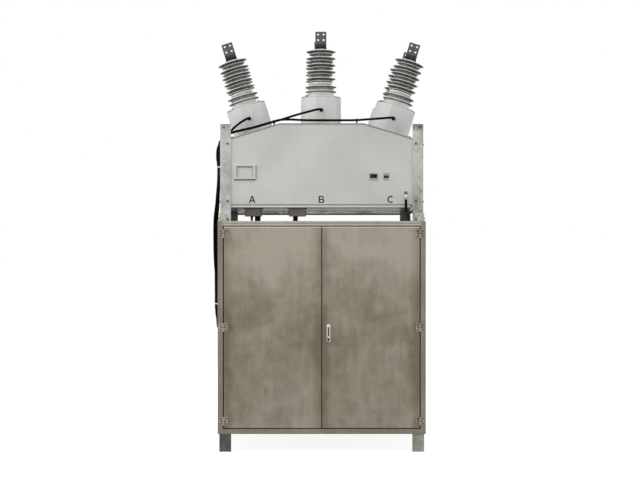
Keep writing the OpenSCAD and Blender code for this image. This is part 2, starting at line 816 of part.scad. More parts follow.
module indicator_windows() {
    color("#b9b7b2") for (w = WINDOWS) translate([w[0], -tank_d / 2, window_z]) rotate([90, 0, 0])
        difference() {
            translate([-w[1] / 2, 0, 0]) cube([w[1], indicator_h, bezel_t]);
            translate([-w[2] / 2, w[4], bezel_t - pane_depth]) cube([w[2], w[3], bezel_t]);
        }
}

// Flat tongue of a cable lug with its bolt and the barrel below it
module earth_lug() {
    tongue_z = lug_end + lug_barrel_h - lug_lap;
    translate([earth_bolt.x - lug_w / 2, -tank_d / 2 - lug_t, tongue_z])
        cube([lug_w, lug_t, earth_bolt.y + lug_head - tongue_z]);
    translate([earth_bolt.x, -tank_d / 2 - lug_barrel_out, lug_end])
        cylinder(d = lug_barrel_d, h = lug_barrel_h);
    translate([earth_bolt.x, -tank_d / 2 - lug_t + eps, earth_bolt.y]) rotate([90, 0, 0])
        cylinder(d = earth_bolt_d, h = earth_bolt_l, $fn = 6);
}

module post_lug() {
    translate([post_lug_at.x, -tank_d / 2, post_lug_at.y]) cube([lug_w, lug_t, lug_barrel_h]);
}

module earth_lead() {
    color("#3a3a37") {
        earth_lug();
        cable(ROUTE_EARTH, earth_d);
        post_lug();
    }
}

// ---- nodes --------------------------------------------------------------------------

legs();
cabinet_floor();
cabinet_roof();
cabinet_back();
for (i = [0, 1]) cabinet_side(i);
for (i = [0, 1]) front_stile(i);
front_rail_top();
front_rail_bottom();
for (i = [0, 1]) door(i);
for (i = [0, 1]) hinge_frame_leaves(i);
for (i = [0, 1]) hinge_door_leaves(i);
handle_backplate();
handle_lever();
for (i = [0 : 3]) post(i);
post_cleats();
rear_cross_rail();
tank_floor();
tank_front();
tank_back();
for (i = [0, 1]) tank_side(i);
tank_roof();
for (i = [0 : 5]) ct_housing(i);
for (i = [0 : 5]) bushing(i);
for (i = [0 : 5]) terminal(i);
cable_glands();
for (i = [0 : 2]) ct_cable(i);
cable_clips();
cable_ties();
cable_entry_plate();
under_tank_boxes();
nameplate_holder();
indicator_windows();
earth_lead();
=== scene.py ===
"""Looks for an outdoor vacuum circuit breaker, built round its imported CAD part."""

import math
import random

import bmesh
import bpy
from mathutils import Matrix, Vector


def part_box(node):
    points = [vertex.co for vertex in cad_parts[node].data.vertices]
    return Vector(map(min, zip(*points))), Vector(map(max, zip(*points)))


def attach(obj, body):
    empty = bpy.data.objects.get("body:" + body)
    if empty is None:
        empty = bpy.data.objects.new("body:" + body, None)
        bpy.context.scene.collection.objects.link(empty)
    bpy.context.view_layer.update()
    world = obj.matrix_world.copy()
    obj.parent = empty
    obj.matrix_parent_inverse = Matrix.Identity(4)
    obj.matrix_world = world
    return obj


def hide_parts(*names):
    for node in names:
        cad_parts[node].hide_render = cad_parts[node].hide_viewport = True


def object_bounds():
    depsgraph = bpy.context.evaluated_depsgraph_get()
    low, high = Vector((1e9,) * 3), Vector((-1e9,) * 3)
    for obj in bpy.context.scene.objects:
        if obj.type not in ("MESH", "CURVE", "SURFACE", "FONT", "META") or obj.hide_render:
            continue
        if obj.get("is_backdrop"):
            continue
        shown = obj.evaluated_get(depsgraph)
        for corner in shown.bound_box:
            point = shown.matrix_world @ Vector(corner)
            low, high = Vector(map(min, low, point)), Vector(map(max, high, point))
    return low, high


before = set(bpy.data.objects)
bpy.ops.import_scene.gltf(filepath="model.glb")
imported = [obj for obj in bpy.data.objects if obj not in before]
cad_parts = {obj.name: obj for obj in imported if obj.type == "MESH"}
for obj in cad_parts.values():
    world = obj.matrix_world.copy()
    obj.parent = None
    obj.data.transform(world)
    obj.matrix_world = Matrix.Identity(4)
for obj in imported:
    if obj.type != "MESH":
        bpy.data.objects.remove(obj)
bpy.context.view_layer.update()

random.seed(7)
MM = 0.001


# ---- finishes ----


def linear(colour):
    """An sRGB hex colour as the linear RGBA that a shader takes."""
    parts = [int(colour[i : i + 2], 16) / 255 for i in (1, 3, 5)]
    return [*(p / 12.92 if p <= 0.04045 else ((p + 0.055) / 1.055) ** 2.4 for p in parts), 1.0]


def add(tree, kind, sockets=(), **settings):
    """Adds one node with its settings, fills or links its inputs, and gives back its output."""
    made = tree.nodes.new("ShaderNode" + kind)
    for key, value in settings.items():
        setattr(made, key, value)
    for key, value in sockets.items() if isinstance(sockets, dict) else enumerate(sockets):
        if isinstance(value, bpy.types.NodeSocket):
            tree.links.new(value, made.inputs[key])
        else:
            made.inputs[key].default_value = linear(value) if isinstance(value, str) else value
    return next((output for output in made.outputs if output.enabled), None)


def grain(size):
    """The scale of a pattern whose grain is this many millimetres across."""
    return 1000 / size


def bare(owner):
    """The emptied node tree of a material or of the studio's world."""
    owner.use_nodes = True
    owner.node_tree.nodes.clear()
    return owner.node_tree


def new_finish(name):
    """A bare finish, and the point on the piece that its patterns are laid out from."""
    material = bpy.data.materials.new(name)
    tree = bare(material)
    return material, tree, add(tree, "TexCoord").node.outputs["Object"]


def patches(tree, where, size, low, high, least=0.0, most=1.0, **noise):
    """A pattern with a grain of size millimetres, and the patches that it makes: as it goes from
    low to high, they go from least to most."""
    pattern = add(tree, "TexNoise", {"Vector": where, "Scale": grain(size), **noise})
    return pattern, add(tree, "MapRange", (pattern, low, high, least, most))


def edges_worn_and_lit(tree, skin, edge):
    """The skin, with another colour along the broken edges: wear where handling and weather have
    rubbed them, and on some finishes a painted highlight where an edge catches the light, on
    others painted shade where it turns from it.
    """
    edge_wear_and_light = add(tree, "Attribute", attribute_name="edge_wear_and_light").node.outputs["Fac"]
    return add(tree, "Mix", {0: edge_wear_and_light, 6: skin, 7: edge}, data_type="RGBA")


def coated(material, skin, gloss, relief, sockets):
    """Ends a finish with its shader. gloss is a pattern and the roughness at its two ends. relief
    is a pattern, its strength, its depth in millimetres and any relief that it lies on."""
    tree = material.node_tree
    pattern, smooth, rough = gloss
    roughness = add(tree, "MapRange", {"Value": pattern, "To Min": smooth, "To Max": rough})
    height, strength, depth, *under = relief
    normal = add(tree, "Bump", {"Height": height, "Strength": strength, "Distance": depth * MM,
                                **({"Normal": under[0]} if under else {})})
    shader = add(tree, "BsdfPrincipled", {"Base Color": skin, "Roughness": roughness,
                                          "Normal": normal, **sockets})
    add(tree, "OutputMaterial", {"Surface": shader})
    return material


def powder_coat(name, colour, dusty, edge, gloss=(0.4, 0.58), uneven=1.0):
    """Polyester powder coat, sprayed and oven-cured on steel plate. The eye gets a soft satin
    sheen, a faint orange peel, slow drifts of tone where dust has settled and thin rain runs.
    The sheltered underside has kept a higher gloss and an even skin."""
    material, tree, where = new_finish(name)
    _, settled = patches(tree, where, 420, 0.38, 0.68, Detail=4.0)
    down = add(tree, "Mapping", {"Vector": where, "Scale": (1, 1, 0.07)})
    _, run = patches(tree, down, 30, 0.5, 0.8, most=0.5, Detail=5.0)
    dirt = add(tree, "Math", (settled, run), operation="MAXIMUM")
    toned = add(tree, "Mix", {0: dirt, 6: colour, 7: dusty}, data_type="RGBA")
    plate = add(tree, "TexNoise", {"Vector": where, "Scale": grain(300), "Detail": 1.0})
    dished = add(tree, "Bump", {"Height": plate, "Strength": 0.5 * uneven, "Distance": 6 * MM})
    # orange peel 3 mm across; the real 1 mm one is too fine to show
    peel = add(tree, "TexNoise", {"Vector": where, "Scale": grain(3), "Detail": 2.0})
    return coated(material, edges_worn_and_lit(tree, toned, edge), (dirt, *gloss),
                  (peel, 0.35 * uneven, 0.4, dished), {"IOR": 1.5, "Specular IOR Level": 0.4})


def zinc_dip(name, bright, dull, weathered, edge, top=None, cap=0.4, stains=0.25, metal=0.35,
             rough_from=0.4):
    """Hot-dip galvanised steel section. The eye gets the broken spangle of the zinc, dull grey
    clouds, edges in a tone of their own where it drained, with a painted highlight on some and
    painted shade on the heel of the right post, and on a post the dark weathered cap below its
    cut end and the water stains that gather lower down."""
    material, tree, where = new_finish(name)
    spangle = add(tree, "TexVoronoi", {"Vector": where, "Scale": grain(16), "Randomness": 1.0})
    shine = add(tree, "SeparateColor", {"Color": spangle.node.outputs["Color"]})
    flake = add(tree, "MapRange", {"Value": shine, "To Max": 0.3})
    cloud, dulled = patches(tree, where, 110, 0.4, 0.66, Detail=6.0, Roughness=0.62)
    mixed = add(tree, "Math", (dulled, flake), operation="ADD", use_clamp=True)
    toned = add(tree, "Mix", {0: mixed, 6: bright, 7: dull}, data_type="RGBA")
    if top is None:
        _, stained = patches(tree, where, 10, 0.5, 0.66, most=stains, Detail=3.0)
    else:
        height = add(tree, "SeparateXYZ", {"Vector": where}).node.outputs["Z"]
        near_top, end, lower = [
            add(tree, "MapRange", (height, top - start, top - full, 0.0, most))
            for start, full, most in ((0.056, 0.024, cap), (0.01, 0.006, 0.7), (0.3, 0.52, stains))]
        _, spots = patches(tree, where, 10, 0.35, 0.62, 0.4, 1.3, Detail=3.0)
        spotted = add(tree, "Math", (near_top, spots), operation="MULTIPLY")
        upper = add(tree, "Math", (spotted, end), operation="MAXIMUM")
        down = add(tree, "Mapping", {"Vector": where, "Scale": (1, 1, 0.5)})
        _, water = patches(tree, down, 55, 0.42, 0.62, 0.3, Detail=4.0, Distortion=1.2)
        marked = add(tree, "Math", (water, lower), operation="MULTIPLY")
        stained = add(tree, "Math", (upper, marked), operation="MAXIMUM")
    aged = add(tree, "Mix", {0: stained, 6: toned, 7: weathered}, data_type="RGBA")
    return coated(material, edges_worn_and_lit(tree, aged, edge), (mixed, rough_from, rough_from + 0.22),
                  (cloud, 0.4, 1.2), {"Metallic": metal})


def zinc_sheet(name, light, dark, edge, blots=95, painted_sheen_from=None, pale=0.0, smudges=()):
    """Zinc-coated sheet with a brownish chromate wash, folded and wiped down by hand. The eye gets
    slow clouds, vertical wipe marks, small smudges and a dull metal sheen that waves a little. A
    door is painted paler above the height given, a painted sheen of the light from above, and a
    little paler again at its foot; it is darker along its upright rims. Each of smudges is a point
    where grime gathers beside a hinge, and its strength."""
    material, tree, where = new_finish(name)
    _, big = patches(tree, where, 380, 0.32, 0.68, 0.12, 0.56, Detail=5.0, Roughness=0.55,
                     Distortion=0.4)
    blot, small = patches(tree, where, blots, 0.34, 0.7, most=0.33, Detail=5.0, Roughness=0.6,
                          Distortion=0.6)
    down = add(tree, "Mapping", {"Vector": where, "Scale": (1, 1, 0.22)})
    _, wiped = patches(tree, down, 42, 0.35, 0.7, most=0.23, Detail=4.0)
    both = add(tree, "Math", (big, small), operation="ADD")
    worn = add(tree, "Math", (both, wiped), operation="ADD", use_clamp=True)
    if painted_sheen_from is not None:
        place = add(tree, "SeparateXYZ", {"Vector": where}).node.outputs
        high, low = [
            add(tree, "MapRange", (place["Z"], painted_sheen_from + start, painted_sheen_from + full, 0.0, most))
            for start, full, most in ((0, 0.42, pale), (-0.35, -0.75, pale * 0.4))]
        sheen_and_foot = add(tree, "Math", (high, low), operation="MAXIMUM")
        worn = add(tree, "Math", (worn, sheen_and_foot), operation="SUBTRACT", use_clamp=True)
        across = add(tree, "Math", (place["X"],), operation="ABSOLUTE")
        across = add(tree, "Math", (across, DOOR_CENTRE), operation="SUBTRACT")
        across = add(tree, "Math", (across,), operation="ABSOLUTE")
        rim = add(tree, "MapRange", (across, DOOR_CENTRE - 0.075, DOOR_CENTRE - 0.02, 0.0, 0.4))
        worn = add(tree, "Math", (worn, rim), operation="ADD", use_clamp=True)
    toned = add(tree, "Mix", {0: worn, 6: light, 7: dark}, data_type="RGBA")
    # dirt specks 5 mm across
    _, soil = patches(tree, where, 5, 0.56, 0.76, most=0.5, Detail=2.0)
    flat = add(tree, "Mapping", {"Vector": where, "Scale": (1, 0, 0.6)})
    for x, z, strength in smudges:
        away = add(tree, "VectorMath", (flat, (x, 0, 0.6 * z)), operation="DISTANCE")
        near = add(tree, "MapRange", (away, 0.026, 0.0, 0.0, strength))
        soil = add(tree, "Math", (soil, near), operation="MAXIMUM")
    soiled = add(tree, "Mix", {0: soil, 6: toned, 7: "#5f5849"}, data_type="RGBA")
    sheet = add(tree, "TexNoise", {"Vector": where, "Scale": grain(340), "Detail": 1.5})
    waves = add(tree, "Bump", {"Height": sheet, "Strength": 0.6, "Distance": 12 * MM})
    return coated(material, edges_worn_and_lit(tree, soiled, edge), (worn, 0.4, 0.6),
                  (blot, 0.25, 1.2, waves), {"Metallic": 0.3})


def silicone(name):
    """Moulded silicone rubber of an outdoor bushing. The eye gets a soft, even light grey with
    paler rims, and painted shade, broken into patches, under the sheds and on the stem."""
    material, tree, where = new_finish(name)
    _, patchy = patches(tree, where, 38, 0.35, 0.7, 0.75, Detail=4.0)
    shed_shade = add(tree, "Attribute", attribute_name="shed_shade").node.outputs["Fac"]
    settled = add(tree, "Math", (shed_shade, patchy), operation="MULTIPLY")
    skin = add(tree, "Mix", {0: settled, 6: "#d6d5d2", 7: "#4a453f"}, data_type="RGBA")
    matte = add(tree, "TexNoise", {"Vector": where, "Scale": grain(2), "Detail": 2.0})
    return coated(material, skin, (settled, 0.42, 0.75), (matte, 0.2, 0.3), {"IOR": 1.41})


def bar_metal(name, colour, dark, size=9):
    """Bar or forging gone dull in the open: tin or zinc over copper or steel. The eye gets a dark
    grey with fine draw lines, small stains and a broken low gloss."""
    material, tree, where = new_finish(name)
    _, spread = patches(tree, where, size, 0.35, 0.68, Detail=5.0, Roughness=0.6)
    toned = add(tree, "Mix", {0: spread, 6: colour, 7: dark}, data_type="RGBA")
    drawn = add(tree, "Mapping", {"Vector": where, "Scale": (1, 1, 0.08)})
    lines = add(tree, "TexNoise", {"Vector": drawn, "Scale": grain(1.6), "Detail": 2.0})
    return coated(material, edges_worn_and_lit(tree, toned, colour), (spread, 0.38, 0.6),
                  (lines, 0.3, 0.2), {"Metallic": 0.6})


def chrome(name, colour, low, high):
    """Chromium plate on a zinc casting, polished. The eye gets near-mirror glints, broken only by
    fine hand scratches and finger marks."""
    material, tree, where = new_finish(name)
    marks, dull = patches(tree, where, 7, 0.35, 0.7, Detail=5.0)
    skin = add(tree, "Mix", {0: marks, 6: colour, 7: "#bdbbb6"}, data_type="RGBA")
    scratch = add(tree, "TexNoise", {"Vector": where, "Scale": grain(1), "Detail": 1.0})
    return coated(material, skin, (dull, low, high), (scratch, 0.1, 0.1), {"Metallic": 1.0})


def moulded(name, colour, dusty, smooth, rough, ior, size=30, pebble=0.2, shine=0.5):
    """Extruded or moulded plastic and rubber: PVC sheath, nylon, sealant, acrylic. The eye gets an
    even colour with a little dust, a fine skin texture and the gloss that its sort has."""
    material, tree, where = new_finish(name)
    _, film = patches(tree, where, size, 0.45, 0.75, Detail=4.0)
    skin = add(tree, "Mix", {0: film, 6: colour, 7: dusty}, data_type="RGBA")
    skin_grain = add(tree, "TexNoise", {"Vector": where, "Scale": grain(1.5), "Detail": 2.0})
    return coated(material, skin, (film, smooth, rough), (skin_grain, 0.3, pebble),
                  {"IOR": ior, "Specular IOR Level": shine})


POST_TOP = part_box("post_front_left")[1].z
DOOR_MIDDLE = sum(corner.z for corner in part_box("door_left")) / 2
DOOR_CENTRE = sum(corner.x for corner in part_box("door_right")) / 2
tank_paint = powder_coat("powder_coat_tank_grey", "#c6c5c2", "#b9b8b4", "#d2d2cf")
# lighter and darker copies of the tank paint: a painted highlight along the floor's rim, painted
# shade on the roof's cut edges and just above the rim, and painted shade under the floor
highlight_rim_paint = powder_coat("powder_coat_tank_rim_painted_highlight", "#e0dfdc", "#d2d1cd", "#e6e6e3")
shaded_edge_paint = powder_coat("powder_coat_edge_painted_shade", "#86837b", "#6d6a62", "#8f8c84")
shaded_under_paint = powder_coat("powder_coat_underside_painted_shade", "#a3a19c", "#96938d", "#aeaca7",
                          (0.24, 0.34), 0.1)
housing_paint = powder_coat("powder_coat_housing_grey", "#c8c9c7", "#bebfbc", "#d4d4d2")
box_paint = powder_coat("hammered_paint_box_grey", "#96928a", "#858178", "#a5a19a")
window_paint = powder_coat("powder_coat_window_frame", "#a19f99", "#8b8982", "#b0aea8")
flange_paint = powder_coat("paint_box_flange_dark", "#4c4a45", "#3d3b37", "#625f59")
left_zinc = zinc_dip("hot_dip_zinc_left_post", "#bbbbb8", "#a5a4a0", "#4d4d46", "#a9a8a3",
                     POST_TOP, stains=0.15)
# the right post's dark edge colour is painted shade along its heel, which turns from the light
right_zinc = zinc_dip("hot_dip_zinc_right_post", "#b5b6b0", "#9b9b94", "#4d4d46", "#66665f",
                      POST_TOP, cap=0.7, stains=0.6)
rear_zinc = zinc_dip("hot_dip_zinc_rear_post", "#94968c", "#6d7067", "#3e4039", "#9a9c93", POST_TOP)
cleat_zinc = zinc_dip("hot_dip_zinc_cleat", "#bab8ab", "#8b8974", "#4a4839", "#d8d8d2", stains=0.8)
leg_dark = zinc_dip("darker_steel_leg", "#55564f", "#3b3d37", "#2b2c28", "#6d6d66")
leg_light = zinc_dip("hot_dip_zinc_leg", "#96958a", "#7b7967", "#565547", "#adaca3")
# the cross rail is painted lighter than its zinc as painted light, lighter still at its left end,
# and dark along its foot as painted shade
rail_zinc_lit = zinc_dip("hot_dip_zinc_cross_rail_painted_light", "#e4e2dc", "#cfccc4", "#a5a298", "#e4e2dc",
                     metal=1.0, rough_from=0.3)
rail_end_lit = zinc_dip("zinc_cross_rail_end_painted_light", "#faf9f6", "#f0efeb", "#d9d7d1", "#faf9f6",
                    metal=1.0, rough_from=0.3)
rail_foot_shade = zinc_dip("zinc_cross_rail_foot_painted_shade", "#45433e", "#32302c", "#242220", "#4e4c47")
bolt_zinc = zinc_dip("zinc_plated_bolt", "#686761", "#4b4a45", "#33322e", "#7d7c76")
# the door's dark edge colour is painted shade on its rounded rims beside the gaps
door_sheet = zinc_sheet("zinc_sheet_door", "#989182", "#6a6350", "#6a6353",
                        painted_sheen_from=DOOR_MIDDLE + 0.13, pale=0.6,
                        smudges=[(-0.645, 0.874, 0.8), (-0.65, 1.53, 0.5), (-0.65, 0.22, 0.4),
                                 (0.648, 0.874, 0.3)])
cabinet_sheet = zinc_sheet("zinc_sheet_cabinet", "#918979", "#716a5b", "#a39c8d")
floor_sheet = zinc_sheet("zinc_sheet_cabinet_floor", "#6a6459", "#4d483e", "#79736a")
frame_sheet = zinc_sheet("zinc_sheet_front_frame", "#918b78", "#6a6553", "#a9a392", blots=13)
# the top rail's pale edge colour is a painted highlight along its lit top edge
head_sheet = zinc_sheet("zinc_sheet_top_rail", "#a49d90", "#857e70", "#d3cec1", blots=13)
# a paler copy of the sheet: painted highlight bands on the top rail and the doors' top edges
highlight_sheet = zinc_sheet("zinc_sheet_painted_highlight", "#c9c3b5", "#aca595", "#d3cec1", blots=13)
# the hinge's pale edge colour is a painted highlight
hinge_steel = zinc_dip("zinc_plated_hinge", "#a8a48f", "#827d69", "#5b5744", "#bfbba8")
rubber_grey = silicone("silicone_rubber_bushing")
terminal_bar = bar_metal("tinned_copper_bar_weathered", "#5f5d5e", "#464444")
terminal_shaded = bar_metal("tinned_copper_bar_painted_shade", "#393737", "#2a2828")
terminal_deep_shade = bar_metal("tinned_copper_foot_painted_shade", "#0d0c0c", "#080808")
lug_tin = bar_metal("tinned_lug_worn", "#b9b79f", "#3d3c2e", size=7)
lug_highlight = bar_metal("tinned_lug_painted_highlight", "#e4e2d6", "#cfcdbf", size=6)
screw_dark = bar_metal("blackened_steel_screw", "#3f3d33", "#2c2a22", size=4)
head_chrome = chrome("chrome_handle_head", "#e8e6e1", 0.06, 0.2)
satin_chrome = chrome("satin_chrome_backplate", "#a7a196", 0.28, 0.45)
lever_black = moulded("black_enamel_lever", "#1c1b1a", "#2b2a28", 0.18, 0.35, 1.5)
pvc_black = moulded("pvc_sheath_black", "#060606", "#0e0e0d", 0.7, 0.85, 1.52, shine=0.05)
# a lighter copy of the black sheath, a painted highlight where the earth cable's lower run catches
# the light
pvc_highlit = moulded("pvc_sheath_painted_highlight", "#1a1a18", "#4a4b46", 0.7, 0.85, 1.52, 24, shine=0.05)
plastic_black = moulded("nylon_black", "#0d0d0d", "#181816", 0.6, 0.75, 1.53, shine=0.12)
nylon_white = moulded("nylon_white", "#e9e8e3", "#d8d6cf", 0.35, 0.5, 1.53)
# grey sealant on the tank's seams, also laid as strips of painted shadow round the nameplate holder
sealant_and_shadow = moulded("polyurethane_sealant_and_painted_shadow_grey", "#85837d", "#706e68", 0.5, 0.65, 1.5)
gasket_black = moulded("epdm_gasket_black", "#060606", "#0d0d0c", 0.75, 0.9, 1.5, shine=0.05)
letter_black = moulded("stencil_enamel_black", "#0c0c0c", "#151514", 0.55, 0.7, 1.5, 8, shine=0.15)
pane_black = moulded("smoked_acrylic_pane", "#050505", "#0b0b0a", 0.1, 0.2, 1.49, pebble=0.02,
                     shine=0.1)
marker_grey = moulded("indicator_marker_grey", "#8b8984", "#767470", 0.4, 0.5, 1.5)


# ---- shapes ----


class Shape:
    """Points in millimetres and the faces between them, gathered into one piece."""

    def __init__(self):
        self.points, self.faces, self.marks = [], [], []

    def add(self, points_and_faces, place=Matrix(), mark=0):
        points, faces = points_and_faces
        first = len(self.points)
        self.points += [place @ Vector(p) for p in points]
        self.faces += [[first + i for i in face] for face in faces]
        self.marks += [mark] * len(faces)
        return self


def finish_piece(mesh, name, body, finishes, smooth_below):
    """Gives a mesh its finishes and shading, and sets it to ride on its CAD body."""
    for finish in finishes:
        mesh.materials.append(finish)
    mesh.polygons.foreach_set("use_smooth", [True] * len(mesh.polygons))
    mesh.set_sharp_from_angle(angle=math.radians(smooth_below))
    mesh.update()
    piece = bpy.data.objects.new(name, mesh)
    bpy.context.scene.collection.objects.link(piece)
    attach(piece, body)
    return piece


def make(shape, name, finishes, body="root", smooth_below=38, stands_for=()):
    """Makes a piece from a shape, in place of the CAD nodes named in stands_for."""
    mesh = bpy.data.meshes.new(name)
    mesh.from_pydata([p * MM for p in shape.points], [], shape.faces)
    mesh.polygons.foreach_set("material_index", shape.marks)
    whole = bmesh.new()
    whole.from_mesh(mesh)
    bmesh.ops.recalc_face_normals(whole, faces=whole.faces)
    whole.to_mesh(mesh)
    whole.free()
    piece = finish_piece(mesh, name, body, finishes, smooth_below)
    if stands_for:
        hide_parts(*stands_for)
    return piece


def worked(node, finishes, rounds=((0.8, None),), pick=None, body="root", name=None, cuts=()):
    """A CAD node with its edges broken, as a press, a grinder or thick zinc leaves them. Each of
    rounds is a radius in millimetres and a test for its edges; the broken edges are marked to take
    the edge colour of wear and painted edge light.
    pick gives each face the number of its finish, and cuts are the planes that part faces for it,
    each a point and a direction."""
    whole = bmesh.new()
    whole.from_mesh(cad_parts[node].data)
    bmesh.ops.remove_doubles(whole, verts=whole.verts, dist=0.01 * MM)
    bmesh.ops.dissolve_limit(whole, angle_limit=math.radians(0.4), verts=whole.verts,
                             edges=whole.edges)
    edge_wear_and_light = whole.faces.layers.float.new("edge_wear_and_light")
    for radius, wanted in rounds:
        edges = [e for e in whole.edges if len(e.link_faces) == 2
                 and e.calc_face_angle(0) > math.radians(40) and (wanted is None or wanted(e))]
        broken = bmesh.ops.bevel(whole, geom=edges, offset=radius * MM, segments=3, profile=0.5,
                                 affect="EDGES", clamp_overlap=True)
        for face in broken["faces"]:
            face[edge_wear_and_light] = 0.6
    for point, across in cuts:
        bmesh.ops.bisect_plane(whole, geom=[*whole.verts, *whole.edges, *whole.faces],
                               plane_co=point, plane_no=across)
    if pick:
        for face in whole.faces:
            face.material_index = pick(face)
    mesh = bpy.data.meshes.new(name or node + "_worked")
    whole.to_mesh(mesh)
    whole.free()
    piece = finish_piece(mesh, mesh.name, body, finishes, 34)
    shading = piece.modifiers.new("even_flats", "WEIGHTED_NORMAL")
    shading.keep_sharp = True
    shading.weight = 90
    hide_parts(node)
    return piece


def level(height):
    """A level plane at a height, for parting faces."""
    return (0, 0, height), (0, 0, 1)


def at(x, y, z):
    """Moves a shape to a place."""
    return Matrix.Translation((x, y, z))


def circle(radius, sides=16, wide=1.0, high=1.0):
    """Points round a circle, or round an ellipse that is so much wider and higher."""
    return [(wide * (radius * math.cos(s * math.tau / sides)),
             high * (radius * math.sin(s * math.tau / sides))) for s in range(sides)]


def revolve(profile, sides=48):
    """Turns a profile of (radius, height) pairs round the Z axis."""
    points, rings, faces = [], [], []
    for radius, height in profile:
        first = len(points)
        if radius < 1e-6:
            points.append((0, 0, height))
            rings.append([first] * sides)
        else:
            points += [(x, y, height) for x, y in circle(radius, sides)]
            rings.append([first + s for s in range(sides)])
    for low, high in zip(rings, rings[1:]):
        for s in range(sides):
            t = (s + 1) % sides
            face = list(dict.fromkeys([low[s], low[t], high[t], high[s]]))
            if len(face) > 2:
                faces.append(face)
    return points, faces


def closed_revolve(profile, sides=48):
    """Turns a closed profile round the Z axis, so that it makes a ring."""
    points, faces = revolve(list(profile) + [profile[0]], sides)
    count = sides * len(profile)
    return points[:count], [[i % count for i in face] for face in faces]


def loft(rings, caps=True, closed=False):
    """Joins rings of as many points each, one after the other."""
    points = [p for ring in rings for p in ring]
    n = len(rings[0])
    pairs = list(zip(range(len(rings)), range(1, len(rings))))
    if closed:
        pairs.append((len(rings) - 1, 0))
    faces = [[a * n + s, a * n + (s + 1) % n, b * n + (s + 1) % n, b * n + s]
             for a, b in pairs for s in range(n)]
    if caps and not closed:
        faces += [list(range(n - 1, -1, -1)), [(len(rings) - 1) * n + s for s in range(n)]]
    return points, faces


def smooth_path(points, steps):
    """A smooth curve through points, with this many steps for each stretch."""
    p = [Vector(v) for v in points]
    path = []
    for k in range(len(p) - 1):
        a, b, c, d = p[max(k - 1, 0)], p[k], p[k + 1], p[min(k + 2, len(p) - 1)]
        for s in range(steps):
            t = s / steps
            path.append((2 * b + (c - a) * t + (2 * a - 5 * b + 4 * c - d) * t**2
                         + (3 * b - a - 3 * c + d) * t**3) / 2)
    return path + [p[-1]]


def sweep(path, section, closed=False, start=(0.3, 0.2, 1)):
    """Carries a section along a path without twist. The section is a list of (across, up) pairs,
    or a function that gives it for each step."""
    last = len(path) - 1
    rings, across = [], Vector(start)
    for k, point in enumerate(path):
        if closed:
            forward = path[(k + 1) % len(path)] - path[k - 1]
        else:
            forward = path[min(k + 1, last)] - path[max(k - 1, 0)]
        forward.normalize()
        across = (across - across.dot(forward) * forward).normalized()
        up = forward.cross(across)
        here = section(k) if callable(section) else section
        rings.append([point + a * across + b * up for a, b in here])
    return loft(rings, closed=closed)


def rounded_polygon(sides, flats, corner, z, turn=0.0, steps=3):
    """A ring round a regular polygon with rounded corners, by its width across flats."""
    reach = (flats / 2 - corner) / math.cos(math.pi / sides)
    ring = []
    for k in range(sides):
        middle = turn + k * math.tau / sides
        for s in range(steps + 1):
            a = middle + (s / steps - 0.5) * math.tau / sides
            ring.append((reach * math.cos(middle) + corner * math.cos(a),
                         reach * math.sin(middle) + corner * math.sin(a), z))
    return ring


def rounded_rectangle(width, depth, corner, z, steps=4):
    """A ring round a rectangle with rounded corners."""
    ring = []
    for k, (sx, sy) in enumerate([(1, 1), (-1, 1), (-1, -1), (1, -1)]):
        for s in range(steps + 1):
            a = math.radians(90 * k + 90 * s / steps)
            ring.append((sx * (width / 2 - corner) + corner * math.cos(a),
                         sy * (depth / 2 - corner) + corner * math.sin(a), z))
    return ring


def soft_slab(ring, low, high, edge):
    """A plate between two heights with both its rims rounded. ring(inset, z) gives its outline."""
    turns = [math.radians(30 * s) for s in range(4)]
    rings = [ring(edge * (1 - math.sin(a)), low + edge * (1 - math.cos(a))) for a in turns]
    rings += [ring(edge * (1 - math.cos(a)), high - edge * (1 - math.sin(a))) for a in turns]
    return loft(rings)


def block(width, depth, corner, low, high, edge):
    """A block between two heights with its upright corners and both its rims rounded."""
    return soft_slab(lambda inset, z: rounded_rectangle(width - 2 * inset, depth - 2 * inset,
                                                        corner, z), low, high, edge)


def hexagon_head(flats, height):
    """A hexagon head or nut, its corners turned down to a chamfer at the top."""
    rings = []
    for z, limit in ((0, 9), (height * 0.72, 9), (height * 0.9, 1.07), (height, 0.97)):
        ring = []
        for s in range(48):
            a = s * math.tau / 48
            reach = flats / 2 / math.cos((a + math.pi / 6) % (math.pi / 3) - math.pi / 6)
            reach = min(reach, flats / 2 * limit)
            ring.append((reach * math.cos(a), reach * math.sin(a), z))
        rings.append(ring)
    return loft(rings)


def bolt(flats=13.0, height=5.5, washer=8.5, thick=1.6, thread=0.0):
    """A hexagon bolt head on its washer, standing on Z = 0, with any thread end beyond a nut."""
    shape = Shape()
    shape.add(revolve([(0, 0), (washer, 0), (washer, thick - 0.3), (washer - 0.4, thick),
                       (0, thick)], 32))
    shape.add(hexagon_head(flats, height), at(0, 0, thick))
    if thread:
        r = flats * 0.3
        end = height + thick + thread
        shape.add(revolve([(r, height), (r, end - 0.8), (r - 0.8, end), (0, end)], 24))
    return shape.points, shape.faces


def screw(width=9.0, height=2.4):
    """A raised slotted screw head, standing on Z = 0: two halves of a dome on a thin disc."""
    shape = Shape()
    shape.add(revolve([(0, 0), (width / 2, 0), (width / 2, height * 0.3), (0, height * 0.3)], 24))
    for side in (0, math.pi):
        rings = []
        for share, z in ((1.0, 0.3), (0.96, 0.55), (0.8, 0.85), (0.55, 1.0)):
            ring = []
            for s in range(13):
                a = math.radians(14 + 152 * s / 12)
                x, y = width / 2 * share * math.cos(a), width / 2 * share * math.sin(a)
                ring.append((x, max(y, 0.6), height * z))
            rings.append(ring)
        shape.add(loft(rings), Matrix.Rotation(side, 4, "Z"))
    return shape.points, shape.faces


